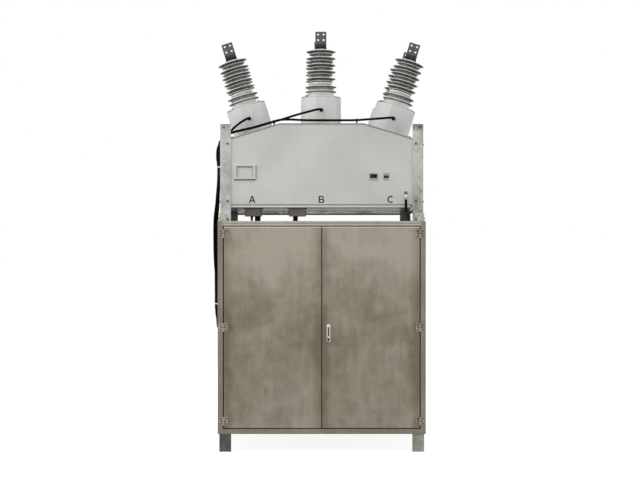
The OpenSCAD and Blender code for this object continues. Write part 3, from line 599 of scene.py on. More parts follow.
def facing(point, direction, turn=0.0):
    """Stands a shape made on the Z axis at a point, looking in a direction."""
    look = Vector(direction).to_track_quat("Z", "Y").to_matrix().to_4x4()
    return at(*point) @ look @ Matrix.Rotation(math.radians(turn), 4, "Z")


def weld(path, radius, step=5.0):
    """A weld bead round a closed path, its ripples about 5 mm apart and a little uneven."""
    beads = []
    for a, b in zip(path, path[1:] + path[:1]):
        count = max(1, round((b - a).length / step * 3))
        beads += [a.lerp(b, s / count) for s in range(count)]
    sizes = [radius * (1 + 0.1 * math.sin(k * math.tau / 3) + random.uniform(-0.05, 0.05))
             for k in range(len(beads))]
    return sweep(beads, lambda k: circle(sizes[k], 8), closed=True)


def low_high(node):
    """A node's lowest and highest corner in millimetres."""
    low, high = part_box(node)
    return low / MM, high / MM


CORNERS = [(sx, sy) for sx in (-1, 1) for sy in (-1, 1)]


# ---- frame ----

# the legs left of the middle take the darker finish, those right of it the lighter one
worked("legs", [leg_dark, leg_light], ((1.2, None),),
       pick=lambda face: int(face.calc_center_median().x > 0))
post_low, post_high = low_high("post_front_left")
heel_x, front_face = -post_low.x, -post_low.y


def heel(edge):
    """The upright edge at the heel of a post."""
    return all(abs(v.co.x) > (heel_x - 1) * MM and abs(v.co.y) > (front_face - 1) * MM
               for v in edge.verts)


for corner, zinc in (("front_left", left_zinc), ("front_right", right_zinc),
                     ("rear_left", rear_zinc), ("rear_right", rear_zinc)):
    worked("post_" + corner, [zinc], ((6.5, heel), (1.0, None)))
worked("post_cleats", [cleat_zinc], ((1.2, None),))
rail_split, rail_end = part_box("rear_cross_rail")[0].z + 12 * MM, -0.57


def rail_tone(face):
    """The rail has painted shade along its foot, and brighter painted light at its left end."""
    middle = face.calc_center_median()
    return 1 if middle.z < rail_split else 2 if middle.x < rail_end else 0


worked("rear_cross_rail", [rail_zinc_lit, rail_foot_shade, rail_end_lit], ((1.0, None),),
       pick=rail_tone, cuts=[level(rail_split), ((rail_end, 0, 0), (1, 0, 0))])

FACE_BOLT_X, FACE_BOLT_Z = heel_x - 52, (2157, 1754, 1628)
SIDE_BOLT_Y, SIDE_BOLT_Z = front_face - 36, (2151, 1750)
cleat_x = -low_high("post_cleats")[0].x
CLEAT_BOLT_Y, CLEAT_BOLT_Z = front_face - 20, 1631
HOLE_X, HOLE_Z = heel_x - 25, post_high.z - 23
plug = [(0, -2), (6.8, -2), (6.8, 0), (8.2, 0.2), (7.6, 1.4), (4, 2.2), (0, 2.5)]
bolts, plugs = Shape(), Shape()
for sx, sy in CORNERS:
    for k, z in enumerate(FACE_BOLT_Z):
        bolts.add(bolt(), facing((sx * FACE_BOLT_X, sy * front_face, z), (0, sy, 0), 11 * k))
    for k, z in enumerate(SIDE_BOLT_Z):
        bolts.add(bolt(), facing((sx * heel_x, sy * SIDE_BOLT_Y, z), (sx, 0, 0), 17 * k))
    bolts.add(bolt(), facing((sx * cleat_x, sy * CLEAT_BOLT_Y, CLEAT_BOLT_Z), (sx, 0, 0), 8))
    plugs.add(revolve(plug, 28), facing((sx * HOLE_X, sy * front_face, HOLE_Z), (0, sy, 0)))
make(bolts, "frame_bolts", [bolt_zinc])
make(plugs, "lifting_hole_plugs", [bolt_zinc])


# ---- cabinet ----

for node in ("cabinet_roof", "cabinet_back", "cabinet_side_left", "cabinet_side_right"):
    worked(node, [cabinet_sheet], ((1.0, None),))
worked("cabinet_floor", [floor_sheet], ((1.0, None),))
for node in ("front_stile_left", "front_stile_right", "front_rail_bottom"):
    worked(node, [frame_sheet], ((1.0, None),))
head_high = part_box("front_rail_top")[1].z
# the top rail's pale bands are painted highlights: one along its top edge, one just above the door
# gap
head_highlight_bands = (head_high - 28 * MM, head_high - 21 * MM, head_high - 6 * MM)
worked("front_rail_top", [head_sheet, highlight_sheet], ((1.0, None),),
       pick=lambda face: sum(face.calc_center_median().z > z for z in head_highlight_bands) % 2,
       cuts=map(level, head_highlight_bands))

stile_low, stile_high = low_high("front_stile_left")
front_y = stile_low.y
lip_front = stile_high.y - 3
door_low, door_high = low_high("door_left")
door_back = door_high.y
SEAL_GAP = 1.0


def round_opening(inset, y, corner):
    """A closed path round both doors, set in from their outer edges, its corners bent."""
    low, high = door_low.z + inset, door_high.z - inset
    ring = rounded_rectangle(2 * (-door_low.x - inset), high - low, corner, 0, steps=6)
    return [Vector((p[0], y, p[1] + (low + high) / 2)) for p in ring]


seal_mid = (lip_front + door_back + SEAL_GAP) / 2
seal_half = (lip_front - door_back - SEAL_GAP) / 2
seal = Shape().add(sweep(round_opening(5, seal_mid, 14), circle(1, 12, 5, seal_half), closed=True,
                         start=(0, -1, 0.01)))
# the seal's foot: a flat strip stuck on the stop lip; a real seal, its black also stands in as
# painted shade deep in the gaps
strip = [(-9, -0.1), (9, -0.1), (9, -1.9), (7, -2.5), (-7, -2.5), (-9, -1.9)]
seal.add(sweep(round_opening(0, lip_front, 8), strip, closed=True, start=(1, 0, 0.01)))
make(seal, "door_seal", [gasket_black])


# ---- doors ----


def front_rim(edge):
    """The edges round a door's outer face."""
    return all(v.co.y < front_y * MM + 0.1 * MM for v in edge.verts)


# a band of painted highlight along the door's top edge
door_top_highlight = (door_high.z * MM - 9 * MM, door_high.z * MM - 2.5 * MM)
STIFFENER_Z = 330
# the section of a stiffener, folded as a hat: across its width, and in from the door's skin
hat = [(-34, 1.5), (-20, 1.5), (-15, 16.5), (15, 16.5), (20, 1.5), (34, 1.5), (34, 0), (21, 0),
       (16, 15), (-16, 15), (-21, 0), (-34, 0)]
for side in ("left", "right"):
    body = "door_" + side
    worked(body, [door_sheet, highlight_sheet], ((3.2, front_rim), (0.35, None)),
           pick=lambda face: int(door_top_highlight[0] < face.calc_center_median().z < door_top_highlight[1]),
           body=body, name=body + "_pan", cuts=map(level, door_top_highlight))
    low, high = low_high(body)
    inner = Shape()
    for z in (low.z + STIFFENER_Z, high.z - STIFFENER_Z):
        inner.add(loft([[(x, front_y + 2 + b, z + a) for a, b in hat]
                        for x in (low.x + 12, high.x - 12)]))
    make(inner, body + "_stiffeners", [door_sheet], body=body, smooth_below=20)
    for kind, rides in (("frame", "root"), ("door", body)):
        worked(f"hinge_{kind}_leaves_{side}", [hinge_steel], ((0.4, None),),
               body=rides)

leaf_low, leaf_high = low_high("hinge_door_leaves_left")
LEAF_T, LEAF_HALF, KNUCKLE_X = 2.5, 29, 688
hinge_middles = [leaf_low.z + LEAF_HALF, (leaf_low.z + leaf_high.z) / 2, leaf_high.z - LEAF_HALF]
for side, sx in (("left", -1), ("right", 1)):
    for kind, rides, outward in (("frame", "root", sx), ("door", "door_" + side, -sx)):
        screws = Shape()
        for z in hinge_middles:
            for k, (dx, dz) in enumerate(((18, -18), (13, 0), (18, 18))):
                place = (sx * KNUCKLE_X + outward * dx, front_y - LEAF_T, z + dz)
                screws.add(screw(11.5, 2.2), facing(place, (0, -1, 0), 35 + 70 * k))
        make(screws, f"hinge_{kind}_screws_{side}", [screw_dark], body=rides)


# ---- handle ----

plate_low, plate_high = low_high("handle_backplate")
worked("handle_backplate", [satin_chrome], ((0.6, None),), body="door_right")
axis_x, AXIS_Z = (plate_low.x + plate_high.x) / 2, 882.0
screw_place = (axis_x, front_y - 3, plate_low.z + 9)
fixing = Shape().add(screw(8.0, 2.0), facing(screw_place, (0, -1, 0), 20))
make(fixing, "handle_screws", [bolt_zinc], body="door_right")

# the lever's arm: place down its length, half its width, its back, its face and its lean
ARM = ((-3, 6.2, 1.2, 10.4, 0), (-10, 5.6, 1.0, 10.8, 0), (-30, 5.0, 1.2, 10.2, 0),
       (-55, 4.8, 1.2, 9.8, 0), (-70, 5.2, 1.0, 10.2, 0), (-80, 6.6, 0.8, 10.8, 0),
       (-90, 7.8, 0.7, 11.0, -0.4), (-98, 8.2, 0.7, 10.8, -1.2), (-104, 6.8, 1.2, 10.2, -2.6),
       (-108, 3.4, 2.6, 8.4, -4.0))
ROUNDNESS = 0.7
arm = [[(lean + half * math.copysign(abs(c) ** ROUNDNESS, c), z,
         (low + high) / 2 + (high - low) / 2 * math.copysign(abs(d) ** ROUNDNESS, d))
        for c, d in circle(1, 20)] for z, half, low, high, lean in ARM]
flip = at(axis_x, low_high("handle_lever")[1].y, AXIS_Z) @ Matrix.Rotation(math.radians(90), 4, "X")
make(Shape().add(loft(arm), flip), "handle_lever_arm", [lever_black],
     body="handle", smooth_below=60, stands_for=("handle_lever",))
collar = [(5.1, 0.2), (9.4, 0.2), (10, 0.9), (10, 8.8), (9.2, 10.8), (7.4, 11.9), (5.6, 12.0),
          (5.1, 11.4)]
lobe = [(0, 1.2), (2.6, 1.2), (4.2, 2.4), (4.6, 5.0), (4.4, 8.6), (3.2, 10.9), (1.6, 11.7),
        (0, 11.9)]
stud = [(0, 10.4), (3.6, 10.4), (3.9, 10.9), (3.4, 11.8), (1.6, 12.0), (0, 12.0)]
head = Shape().add(closed_revolve(collar, 48), flip)
for sx in (-1, 1):
    head.add(revolve(lobe, 32), flip @ at(sx * 9.9, 3.2, 0))
head.add(revolve(stud, 32), flip @ at(-0.2, -79, 0) @ Matrix.Diagonal((1, 1.7, 1, 1)))
make(head, "handle_head", [head_chrome], body="handle", smooth_below=50)


# ---- tank ----

front_low, front_high = low_high("tank_front")
tank_front_y = -front_low.y
tank_half = low_high("tank_roof")[1].x
FLAT_HALF = 296.0


def plate_edge(face):
    """The plate's cut edges take the second finish, a painted shade."""
    return int(abs(face.normal.y) > 0.9 or abs(face.normal.x) > 0.99)


worked("tank_roof", [tank_paint, shaded_edge_paint], ((0.8, None),), pick=plate_edge)
for node in ("tank_front", "tank_back", "tank_side_left", "tank_side_right"):
    worked(node, [tank_paint], ((0.8, None),))
floor_low, floor_high = (corner.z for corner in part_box("tank_floor"))
floor_bands = (floor_low + 7 * MM, floor_high - 6 * MM)


def floor_tone(face):
    """The tank floor's rim carries a painted highlight along its middle, painted shade above it and
    painted shade below.
    """
    height = face.calc_center_median().z
    if face.normal.z < -0.5 or height < floor_bands[0]:
        return 1
    return 2 if height > floor_bands[1] else 0


worked("tank_floor", [highlight_rim_paint, shaded_under_paint, shaded_edge_paint], ((1.5, None),),
       pick=floor_tone, cuts=map(level, floor_bands))

seam_z, flat_z = front_low.z, front_high.z
end_z = min(v.co.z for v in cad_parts["tank_front"].data.vertices
            if v.co.z > 0.5 * (seam_z + flat_z) * MM) / MM
slope = (flat_z - end_z) / (tank_half - FLAT_HALF)
REACH_X, REACH_Y = 634.0, 400
low_z = flat_z - slope * (REACH_X - FLAT_HALF)
roof_line = ((-REACH_X, low_z), (-FLAT_HALF, flat_z), (FLAT_HALF, flat_z), (REACH_X, low_z))
seams = Shape()
for sy in (-1, 1):
    for line, radius in ((roof_line, 2.6), (((-REACH_X, seam_z), (REACH_X, seam_z)), 3.6)):
        seams.add(sweep([Vector((x, sy * tank_front_y, z)) for x, z in line], circle(radius, 8),
                        start=(0, 1, 0)))
for sx in (-1, 1):
    for z, radius in ((seam_z, 2.2), (end_z, 2.4)):
        seams.add(sweep([Vector((sx * tank_half, y, z)) for y in (-REACH_Y, REACH_Y)],
                        circle(radius, 8), start=(1, 0, 0)))
make(seams, "tank_seams", [sealant_and_shadow], smooth_below=60)


# ---- housings, bushings and terminals ----


def seat_on(node):
    """The frame that stands square on a housing's lid, at its middle."""
    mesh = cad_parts[node].data
    upward = [p for p in mesh.polygons if p.normal.z > 0.5]
    normal = max(upward, key=lambda p: p.area).normal.copy()
    top = max(v.co.dot(normal) for v in mesh.vertices)
    corners = {tuple(round(c, 5) for c in v.co) for v in mesh.vertices
               if v.co.dot(normal) > top - 1e-4}
    middle = sum((Vector(c) for c in corners), Vector()) / len(corners)
    return at(*(middle / MM)) @ Matrix.Rotation(math.atan2(normal.x, normal.z), 4, "Y")


HOUSING_H, HOUSING_FLATS, LID_T, GLAND_H = 204.0, 285.0, 4.0, 105.0
BUSHING_H, STEM, COLLAR, FOOT = 350.0, 55.0, 81.0, 94.0
FOOT_SHED, SMALL_SHED, LARGE_SHED, SHED_PITCH, PAIRS = 113, 86.5, 107, 49, 5
BUSHING_SIDES = 96
LID_SCREWS_R, CLAMP_BOLTS_R = 130, 108
TWELFTH = math.radians(15)


def shed(height, radius, below, above):
    """Half a section through one shed, from its underside to its top, each point with how much
    painted shade it takes.
    """
    points = [(below, height - 7.2, 1.0), (below + 1, height - 5.9, 1.0),
              (below + 3.5, height - 4.9, 1.0), (below + (radius - below) * 0.5, height - 4.1, 1.0),
              (radius - 9, height - 3.4, 0.95), (radius - 3.5, height - 3.0, 0.6)]
    for degrees in (-70, -30, 10, 50, 80):
        a = math.radians(degrees)
        points.append((radius - 2 + 2 * math.cos(a), height - 0.9 + 2 * math.sin(a), 0.0))
    return points + [(radius - 7, height + 1.7, 0.0),
                     (above + (radius - above) * 0.5, height + 3.7, 0.1),
                     (above + 7, height + 6.2, 0.3), (above + 2, height + 8.7, 0.6),
                     (above, height + 11, 0.8)]


def bushing_profile():
    """Half a section through the bushing: foot, two sheds, collar, five pairs of sheds, cap."""
    points = [(0, 0.3, 0), (FOOT, 0.3, 0), (FOOT, 3, 0), (FOOT - 1.5, 5, 0.1),
              (FOOT - 3, 12, 0.05), (FOOT - 3.6, 34, 0.1)]
    points += shed(47, FOOT_SHED, FOOT - 3.6, FOOT - 4) + shed(81, FOOT_SHED, FOOT - 4, COLLAR)
    points += [(COLLAR, 104, 0.0), (COLLAR - 1, 109, 0.0), (COLLAR - 4, 111.4, 0.1),
               (STEM + 6, 112, 0.6)]
    for k in range(PAIRS):
        low = 120 + SHED_PITCH * k
        points += shed(low, SMALL_SHED, STEM, STEM) + shed(low + 19.6, LARGE_SHED, STEM, STEM)
    return points + [(STEM, 347.5, 0.4), (STEM - 1, 349.4, 0.3), (STEM - 3, BUSHING_H, 0.3),
                     (0, BUSHING_H, 0.3)]


def twelve_sided(flats, low, high, edge):
    """A twelve-sided plate between two heights with both its rims rounded."""
    return soft_slab(lambda inset, z: rounded_polygon(12, flats - 2 * inset, 5, z, turn=TWELFTH),
                     low, high, edge)


profile = bushing_profile()
# how much painted shade under the sheds and on the stem each point of the turned bushing takes
shed_shade = [film for r, _, film in profile for _ in range(1 if r < 1e-6 else BUSHING_SIDES)]
clamp_ring = [(FOOT - 4, 0.1), (117, 0.1), (118, 1), (118, 5), (117, 6), (FOOT - 1, 6),
              (FOOT - 4, 5)]
shade_heights = (BUSHING_H + 30, BUSHING_H + 50)
glands = Shape()
for row, sy in (("front", -1), ("rear", 1)):
    for phase in "abc":
        name = f"{row}_{phase}"
        seat = seat_on("ct_housing_" + name)
        up, out = (seat.to_3x3() @ Vector(way) for way in ((0, 0, 1), (0, sy, 0)))
        housing = Shape()
        housing.add(twelve_sided(HOUSING_FLATS, -HOUSING_H + 0.1, -LID_T, 1.6), seat)
        housing.add(twelve_sided(HOUSING_FLATS - 9, -LID_T - 0.2, -LID_T + 1.4, 0.3), seat, mark=1)
        housing.add(twelve_sided(HOUSING_FLATS - 6, -LID_T + 1.3, 0, 0.8), seat)
        foot = rounded_polygon(12, HOUSING_FLATS + 2, 5, -HOUSING_H + 1.5, turn=TWELFTH, steps=2)
        housing.add(weld([seat @ Vector(p) for p in foot], 3.6))
        for k, (x, y) in enumerate(circle(LID_SCREWS_R, 12)):
            housing.add(screw(7.0, 1.8), seat @ at(x, y, 0) @ Matrix.Rotation(k, 4, "Z"))
        # a dark line along the lid's shoulder at both sides, thinning out to front and back
        for side in (0, 180):
            rings = []
            for s in range(25):
                a = math.radians(side - 52 + 104 * s / 24)
                off_flat = (a + math.pi / 12) % (math.pi / 6) - math.pi / 12
                radial = Vector((math.cos(a), math.sin(a), 0))
                edge = (HOUSING_FLATS / 2 - 5.5) / math.cos(off_flat) * radial
                size = 3.4 * math.sin(math.pi * s / 24) ** 0.5 + 0.05
                rings.append([edge + size * (u * radial + Vector((0, 0, v + 0.5)))
                              for u, v in circle(1, 8)])
            housing.add(loft(rings), seat, mark=1)
        make(housing, f"housing_{name}_body", [housing_paint, gasket_black],
             smooth_below=24, stands_for=(f"ct_housing_{name}",))

        body = Shape().add(revolve([(r, z) for r, z, _ in profile], BUSHING_SIDES), seat)
        piece = make(body, f"bushing_{name}_body", [rubber_grey],
                     smooth_below=70, stands_for=(f"bushing_{name}",))
        piece.data.attributes.new("shed_shade", "FLOAT", "POINT").data.foreach_set("value", shed_shade)

        ring = Shape().add(closed_revolve(clamp_ring, 64), seat)
        for k in range(8):
            a = math.radians(22.5 + 45 * k)
            place = at(CLAMP_BOLTS_R * math.cos(a), CLAMP_BOLTS_R * math.sin(a), 6)
            ring.add(bolt(13, 5.3, 8, 1.4), seat @ place @ Matrix.Rotation(k, 4, "Z"))
        make(ring, f"bushing_{name}_clamp_ring", [housing_paint])

        # the terminal darkens towards its foot in two steps of painted shade; its nut takes the
        # darkest
        down = seat.inverted()
        worked(f"terminal_{name}", [terminal_deep_shade, terminal_shaded, terminal_bar],
               ((0.8, None),), cuts=[(seat @ Vector((0, 0, z)) * MM, up) for z in shade_heights],
               pick=lambda face: sum((down @ (face.calc_center_median() / MM)).z > z
                                     for z in shade_heights))
        nut = Shape().add(bolt(19, 10, 13, 2.5, thread=5), seat @ at(0, sy * 6, BUSHING_H + 10.2))
        make(nut, f"terminal_{name}_nut", [terminal_deep_shade])

        place = facing(seat @ Vector((0, sy * HOUSING_FLATS / 2, GLAND_H - HOUSING_H)), out)
        glands.add(revolve([(0, 0), (13.5, 0), (13.5, 1.6), (12.8, 2), (0, 2)], 32), place)
        glands.add(hexagon_head(24, 6), place @ at(0, 0, 2))
        # the cables leave through the front glands; the rear ones are plugged
        cap = [(8, 7.6), (8, 9.2), (7, 10), (0, 10)]
        if row == "front":
            cap = [(10.5, 7.6), (10.5, 13), (10.1, 14.5), (9.2, 16.8), (8.4, 18), (0, 18)]
        glands.add(revolve([(0, 7.6)] + cap, 32), place)
make(glands, "cable_gland_bodies", [plastic_black], stands_for=("cable_glands",))


# ---- cables ----
# The routes repeat the CAD source's points, in millimetres.

ROUTE_A = [
    (-512, -398, 2343), (-512, -412, 2343), (-521, -424, 2339), (-540, -428, 2329),
    (-571, -424, 2310), (-602, -416, 2287), (-632, -402, 2262), (-668, -382, 2228),
    (-703, -370, 2195), (-723, -370, 2165), (-738, -370, 2118), (-739, -370, 2060),
    (-732, -371, 1998), (-733, -370, 1900), (-741, -372, 1800), (-747, -375, 1710),
    (-750, -379, 1640), (-749, -381, 1560), (-748, -381, 1424), (-750, -377, 1300),
    (-750, -373, 1200), (-749, -371, 1100), (-749, -371, 1031), (-745, -370, 960),
    (-737, -370, 915), (-731, -370, 880), (-727, -370, 868),
]
ROUTE_B = [
    (0, -398, 2404), (0, -412, 2404), (-12, -432, 2403), (-40, -444, 2399),
    (-79, -446, 2388), (-148, -446, 2370), (-218, -446, 2349), (-275, -445, 2331),
    (-334, -445, 2314), (-394, -445, 2297), (-480, -445, 2272), (-570, -440, 2252),
    (-625, -420, 2240), (-668, -400, 2222), (-703, -387, 2195), (-722, -387, 2165),
    (-730, -387, 2118), (-729, -387, 2060), (-726, -387, 1998), (-724, -387, 1900),
    (-727, -389, 1800), (-731, -393, 1710), (-737, -396, 1640), (-740, -396, 1560),
    (-740, -396, 1424), (-740, -390, 1300), (-741, -387, 1200), (-742, -387, 1100),
    (-743, -387, 1031), (-741, -387, 960), (-736, -387, 915), (-731, -387, 880),
    (-727, -387, 868),
]
ROUTE_C = [
    (512, -398, 2343), (512, -412, 2343), (502, -440, 2343), (470, -459, 2340),
    (400, -463, 2334), (300, -462, 2327), (247, -462, 2323), (120, -462, 2322),
    (0, -462, 2322), (-120, -462, 2323), (-220, -462, 2327), (-290, -462, 2325),
    (-334, -462, 2314), (-394, -462, 2297), (-480, -462, 2272), (-570, -458, 2252),
    (-625, -440, 2240), (-668, -419, 2222), (-703, -404, 2195), (-722, -404, 2165),
    (-723, -404, 2118), (-720, -404, 2060), (-720, -403, 1998), (-722, -404, 1900),
    (-734, -406, 1800), (-747, -404, 1710), (-755, -399, 1640), (-758, -396, 1560),
    (-757, -396, 1424), (-752, -403, 1300), (-742, -405, 1200), (-738, -404, 1100),
    (-737, -403, 1031), (-737, -404, 960), (-736, -404, 915), (-731, -404, 880),
    (-727, -404, 868),
]
ROUTE_EARTH = [
    (589, -496, 1776), (589, -496, 1745), (589, -497, 1715), (589, -497, 1697),
    (594, -494, 1681), (606, -487, 1671), (622, -480, 1673), (637, -474, 1684),
    (648, -473, 1694),
]

CABLE_R = 8.0
boots = Shape()
for phase, route in zip("abc", (ROUTE_A, ROUTE_B, ROUTE_C)):
    run = Shape().add(sweep(smooth_path(route, 6), circle(CABLE_R, 20)))
    make(run, f"cable_{phase}_sheath", [pvc_black], smooth_below=60,
         stands_for=(f"ct_cable_{phase}",))
    end = smooth_path(route[-4:], 6)[8:]
    boots.add(sweep(end, lambda k: circle(CABLE_R + 1.2 + 3.2 * k / len(end), 20)))
make(boots, "cable_boots", [plastic_black], smooth_below=50)
worked("cable_clips", [plastic_black], ((0.5, None),))
worked("cable_ties", [nylon_white, plastic_black], ((0.3, None),),
       pick=lambda face: int(1.3 < face.calc_center_median().z < 1.5))
ties = Shape()
for x, y, z, turn, out, mark in ((-726, -387, 1998, 20, 29, 0), (-748.3, -391, 1424, 0, 21, 1),
                                 (-743, -387, 1031, 20, 29, 0)):
    ties.add(block(8, 9, 1, -4.5, 4.5, 0.8),
             at(x, y, z) @ Matrix.Rotation(math.radians(turn), 4, "Z") @ at(0, -out, 0), mark=mark)
make(ties, "tie_heads", [nylon_white, plastic_black])

worked("cable_entry_plate", [plastic_black], ((0.5, None),))
entry_low, entry_high = low_high("cable_entry_plate")
INSET = 9
entry = Shape()
for y in (entry_low.y + INSET, entry_high.y - INSET):
    for z in (entry_low.z + INSET, entry_high.z - INSET):
        entry.add(screw(8.0, 2.2), facing((entry_low.x, y, z), (-1, 0, 0), y + z))
make(entry, "entry_plate_screws", [bolt_zinc])


# ---- fittings on and under the tank ----

tank_under = low_high("tank_floor")[0].z
cabinet_top = low_high("cabinet_roof")[1].z
BOX_W, BOX_D, BOX_H, FLANGE, FLANGE_T, SCREW_OUT = 121.0, 120.0, 58.0, 10.0, 4.0, 3
box_y = low_high("under_tank_boxes")[0].y + FLANGE + BOX_D / 2
pipe_low, pipe_high = cabinet_top - tank_under, -BOX_H + 0.5
box_sides = ((0, FLANGE_T), (0, BOX_H - 4), (0.4, BOX_H - 2.2), (1.2, BOX_H - 1),
             (2.4, BOX_H - 0.2), (4, BOX_H))
boxes, conduits = Shape(), Shape()
# each box's middle, and for each pipe below it: place, radius and radius at its foot
for x, pipes in ((-484.5, ((-11.5, 10, 7), (30.5, 21, 21))), (-170.0, ((-14, 18, 18),))):
    place = at(x, box_y, tank_under)
    boxes.add(loft([rounded_rectangle(BOX_W - 2 * inset, BOX_D - 2 * inset, 12 - inset * 0.6, -z)
                    for inset, z in box_sides]), place)
    boxes.add(block(BOX_W + 2 * FLANGE, BOX_D + 2 * FLANGE, 8, -FLANGE_T, -0.1, 0.8), place, mark=1)
    for sx, sy in CORNERS:
        spot = Vector((sx * (BOX_W / 2 + SCREW_OUT), sy * (BOX_D / 2 + SCREW_OUT), -FLANGE_T))
        boxes.add(screw(8.0, 2.4), facing(place @ spot, (0, 0, -1), 30), mark=2)
    for offset, r, foot_r in pipes:
        conduits.add(revolve([(0, pipe_high), (r, pipe_high), (r, pipe_high - 7),
                              (r - 0.6, pipe_high - 8), (foot_r - 0.6, pipe_low + 5),
                              (foot_r, pipe_low + 4), (foot_r, pipe_low + 0.2),
                              (0, pipe_low + 0.2)], 40), place @ at(offset, 0, 0))
make(boxes, "terminal_boxes", [box_paint, flange_paint, bolt_zinc],
     stands_for=("under_tank_boxes",))
make(conduits, "box_conduits", [plastic_black])


def on_tank(x, out, z, turn=0.0):
    """Stands a shape on the tank's front, this far out from its sheet."""
    return facing((x, -tank_front_y - out, z), (0, -1, 0), turn)


worked("nameplate_holder", [tank_paint], ((1.2, None),))
worked("indicator_windows", [window_paint], ((0.7, None),))
holder_low, holder_high = low_high("nameplate_holder")
holder_x = (holder_low.x + holder_high.x) / 2
RECESS_HALF_W, RECESS_HALF_H = 55.5, 39.25
plate_z = holder_low.z + 11 + RECESS_HALF_H
blank = Shape().add(block(111, 74.5, 2, 0, 0.9, 0.2), on_tank(holder_x, 1, plate_z))
for sx, sz in CORNERS:
    blank.add(revolve([(0, 0), (2.2, 0), (2.0, 0.6), (1.2, 1.0), (0, 1.1)], 20),
              on_tank(holder_x + sx * 51, 1.9, plate_z + sz * 32.5))
make(blank, "blank_nameplate", [tank_paint])

# grey strips of painted shadow under the holder, down its right side, and round the top and
# sides of its recess: each strip's two ends and half its width
left, right, top = holder_x - RECESS_HALF_W, holder_x + RECESS_HALF_W, plate_z + RECESS_HALF_H
holder_shadows = Shape()
for x1, z1, x2, z2, half in (
        (holder_low.x, holder_low.z - 5, holder_high.x, holder_low.z - 5, 5.5),
        (holder_high.x + 2.5, holder_low.z + 8, holder_high.x + 2.5, holder_high.z - 6, 2.5),
        (left, top - 4.5, right, top - 4.5, 5),
        (left, plate_z - 36, left, top - 4, 2.5),
        (right, plate_z - 36, right, top - 4, 2.5)):
    holder_shadows.add(sweep([Vector((x, -tank_front_y - 1.4, z)) for x, z in ((x1, z1), (x2, z2))],
                     circle(1, 12, 1.5, half), start=(0, -1, 0.01)))
make(holder_shadows, "holder_painted_shadow", [sealant_and_shadow], smooth_below=60)

window_z = low_high("indicator_windows")[0].z + 13.5
panes = Shape()
# the panes, then the marker between the small ones: middle, size, corner, thickness, rim and look
for x, width, height, corner, thick, rim, mark in (
        (363.5, 49, 27, 0.8, 1.2, 0.3, 0), (442.4, 15, 18, 0.8, 1.2, 0.3, 0),
        (460.4, 15, 18, 0.8, 1.2, 0.3, 0), (451.4, 3, 18, 0.5, 0.8, 0.2, 1)):
    panes.add(block(width, height, corner, 0, thick, rim), on_tank(x, 2, window_z + height / 2),
              mark=mark)
make(panes, "window_panes", [pane_black, marker_grey])


def arc(x, z, rx, rz, start, end, steps=14):
    """Points along an arc of an ellipse, in degrees."""
    turns = [math.radians(start + (end - start) * s / steps) for s in range(steps + 1)]
    return [(x + rx * math.cos(a), z + rz * math.sin(a)) for a in turns]


# Middle, width and outlines of the three phase letters, 49 mm high, and the holes in them
LETTERS = {
    "a": (-487, 45, [[(0, 0), (9, 0), (13, 11.5), (32, 11.5), (36, 0), (45, 0), (27, 49), (18, 49)],
                     [(15.6, 19), (29.4, 19), (22.5, 39)]]),
    "b": (-1, 40, [[(0, 0), (25.5, 0)] + arc(25.5, 14, 14, 14, -90, 68)
                   + arc(23, 36.5, 13, 12.5, -58, 90) + [(0, 49)],
                   [(8.5, 7.5)] + arc(24.5, 14, 6.5, 6.5, -90, 90) + [(8.5, 20.5)],
                   [(8.5, 28)] + arc(22.5, 34.75, 6.75, 6.75, -90, 90) + [(8.5, 41.5)]]),
    "c": (482, 43, [arc(22, 24.5, 22, 24.5, 42, 318, 40) + arc(22, 24.5, 13.5, 16.5, 318, 42, 40)]),
}
LETTER_Z, LETTER_T = 1741, 0.3
for phase, (middle, width, outlines) in LETTERS.items():
    whole = bmesh.new()
    for outline in outlines:
        ring = [whole.verts.new(((middle - width / 2 + x) * MM, -tank_front_y * MM,
                                 (LETTER_Z + z) * MM)) for x, z in outline]
        for k, v in enumerate(ring):
            whole.edges.new((v, ring[(k + 1) % len(ring)]))
    bmesh.ops.triangle_fill(whole, use_beauty=True, use_dissolve=False, edges=whole.edges,
                            normal=(0, -1, 0))
    grown = bmesh.ops.extrude_face_region(whole, geom=list(whole.faces))
    bmesh.ops.translate(whole, vec=(0, -LETTER_T * MM, 0),
                        verts=[v for v in grown["geom"] if isinstance(v, bmesh.types.BMVert)])
    bmesh.ops.recalc_face_normals(whole, faces=whole.faces)
    mesh = bpy.data.meshes.new(f"phase_letter_{phase}")
    whole.to_mesh(mesh)
    whole.free()
    finish_piece(mesh, mesh.name, "root", [letter_black], 30)

# earthing cable, with a painted highlight from its bend on, with its lugs and bolts
EARTH_R, EARTH_X, EARTH_Z, HIGHLIT_FROM = 9.0, 589, 1811, 32
earth_run = smooth_path(ROUTE_EARTH, 8)
earth = Shape().add(sweep(earth_run[: HIGHLIT_FROM + 1], circle(EARTH_R, 20)))
earth.add(sweep(earth_run[HIGHLIT_FROM:], circle(EARTH_R, 20)), mark=1)
make(earth, "earth_cable", [pvc_black, pvc_highlit], smooth_below=60,
     stands_for=("earth_lead",))
lugs = Shape()
lugs.add(loft([rounded_rectangle(24, 30, 8, z) for z in (0.1, 3.6, 4)]),
         on_tank(EARTH_X, 0, EARTH_Z), mark=2)
barrel = [(0, 1764), (10.2, 1764), (11, 1765), (11, 1786), (0, 1786)]
neck = [(0, 1786), (11, 1786), (11, 1788), (10, 1793), (7, 1796), (0, 1796)]
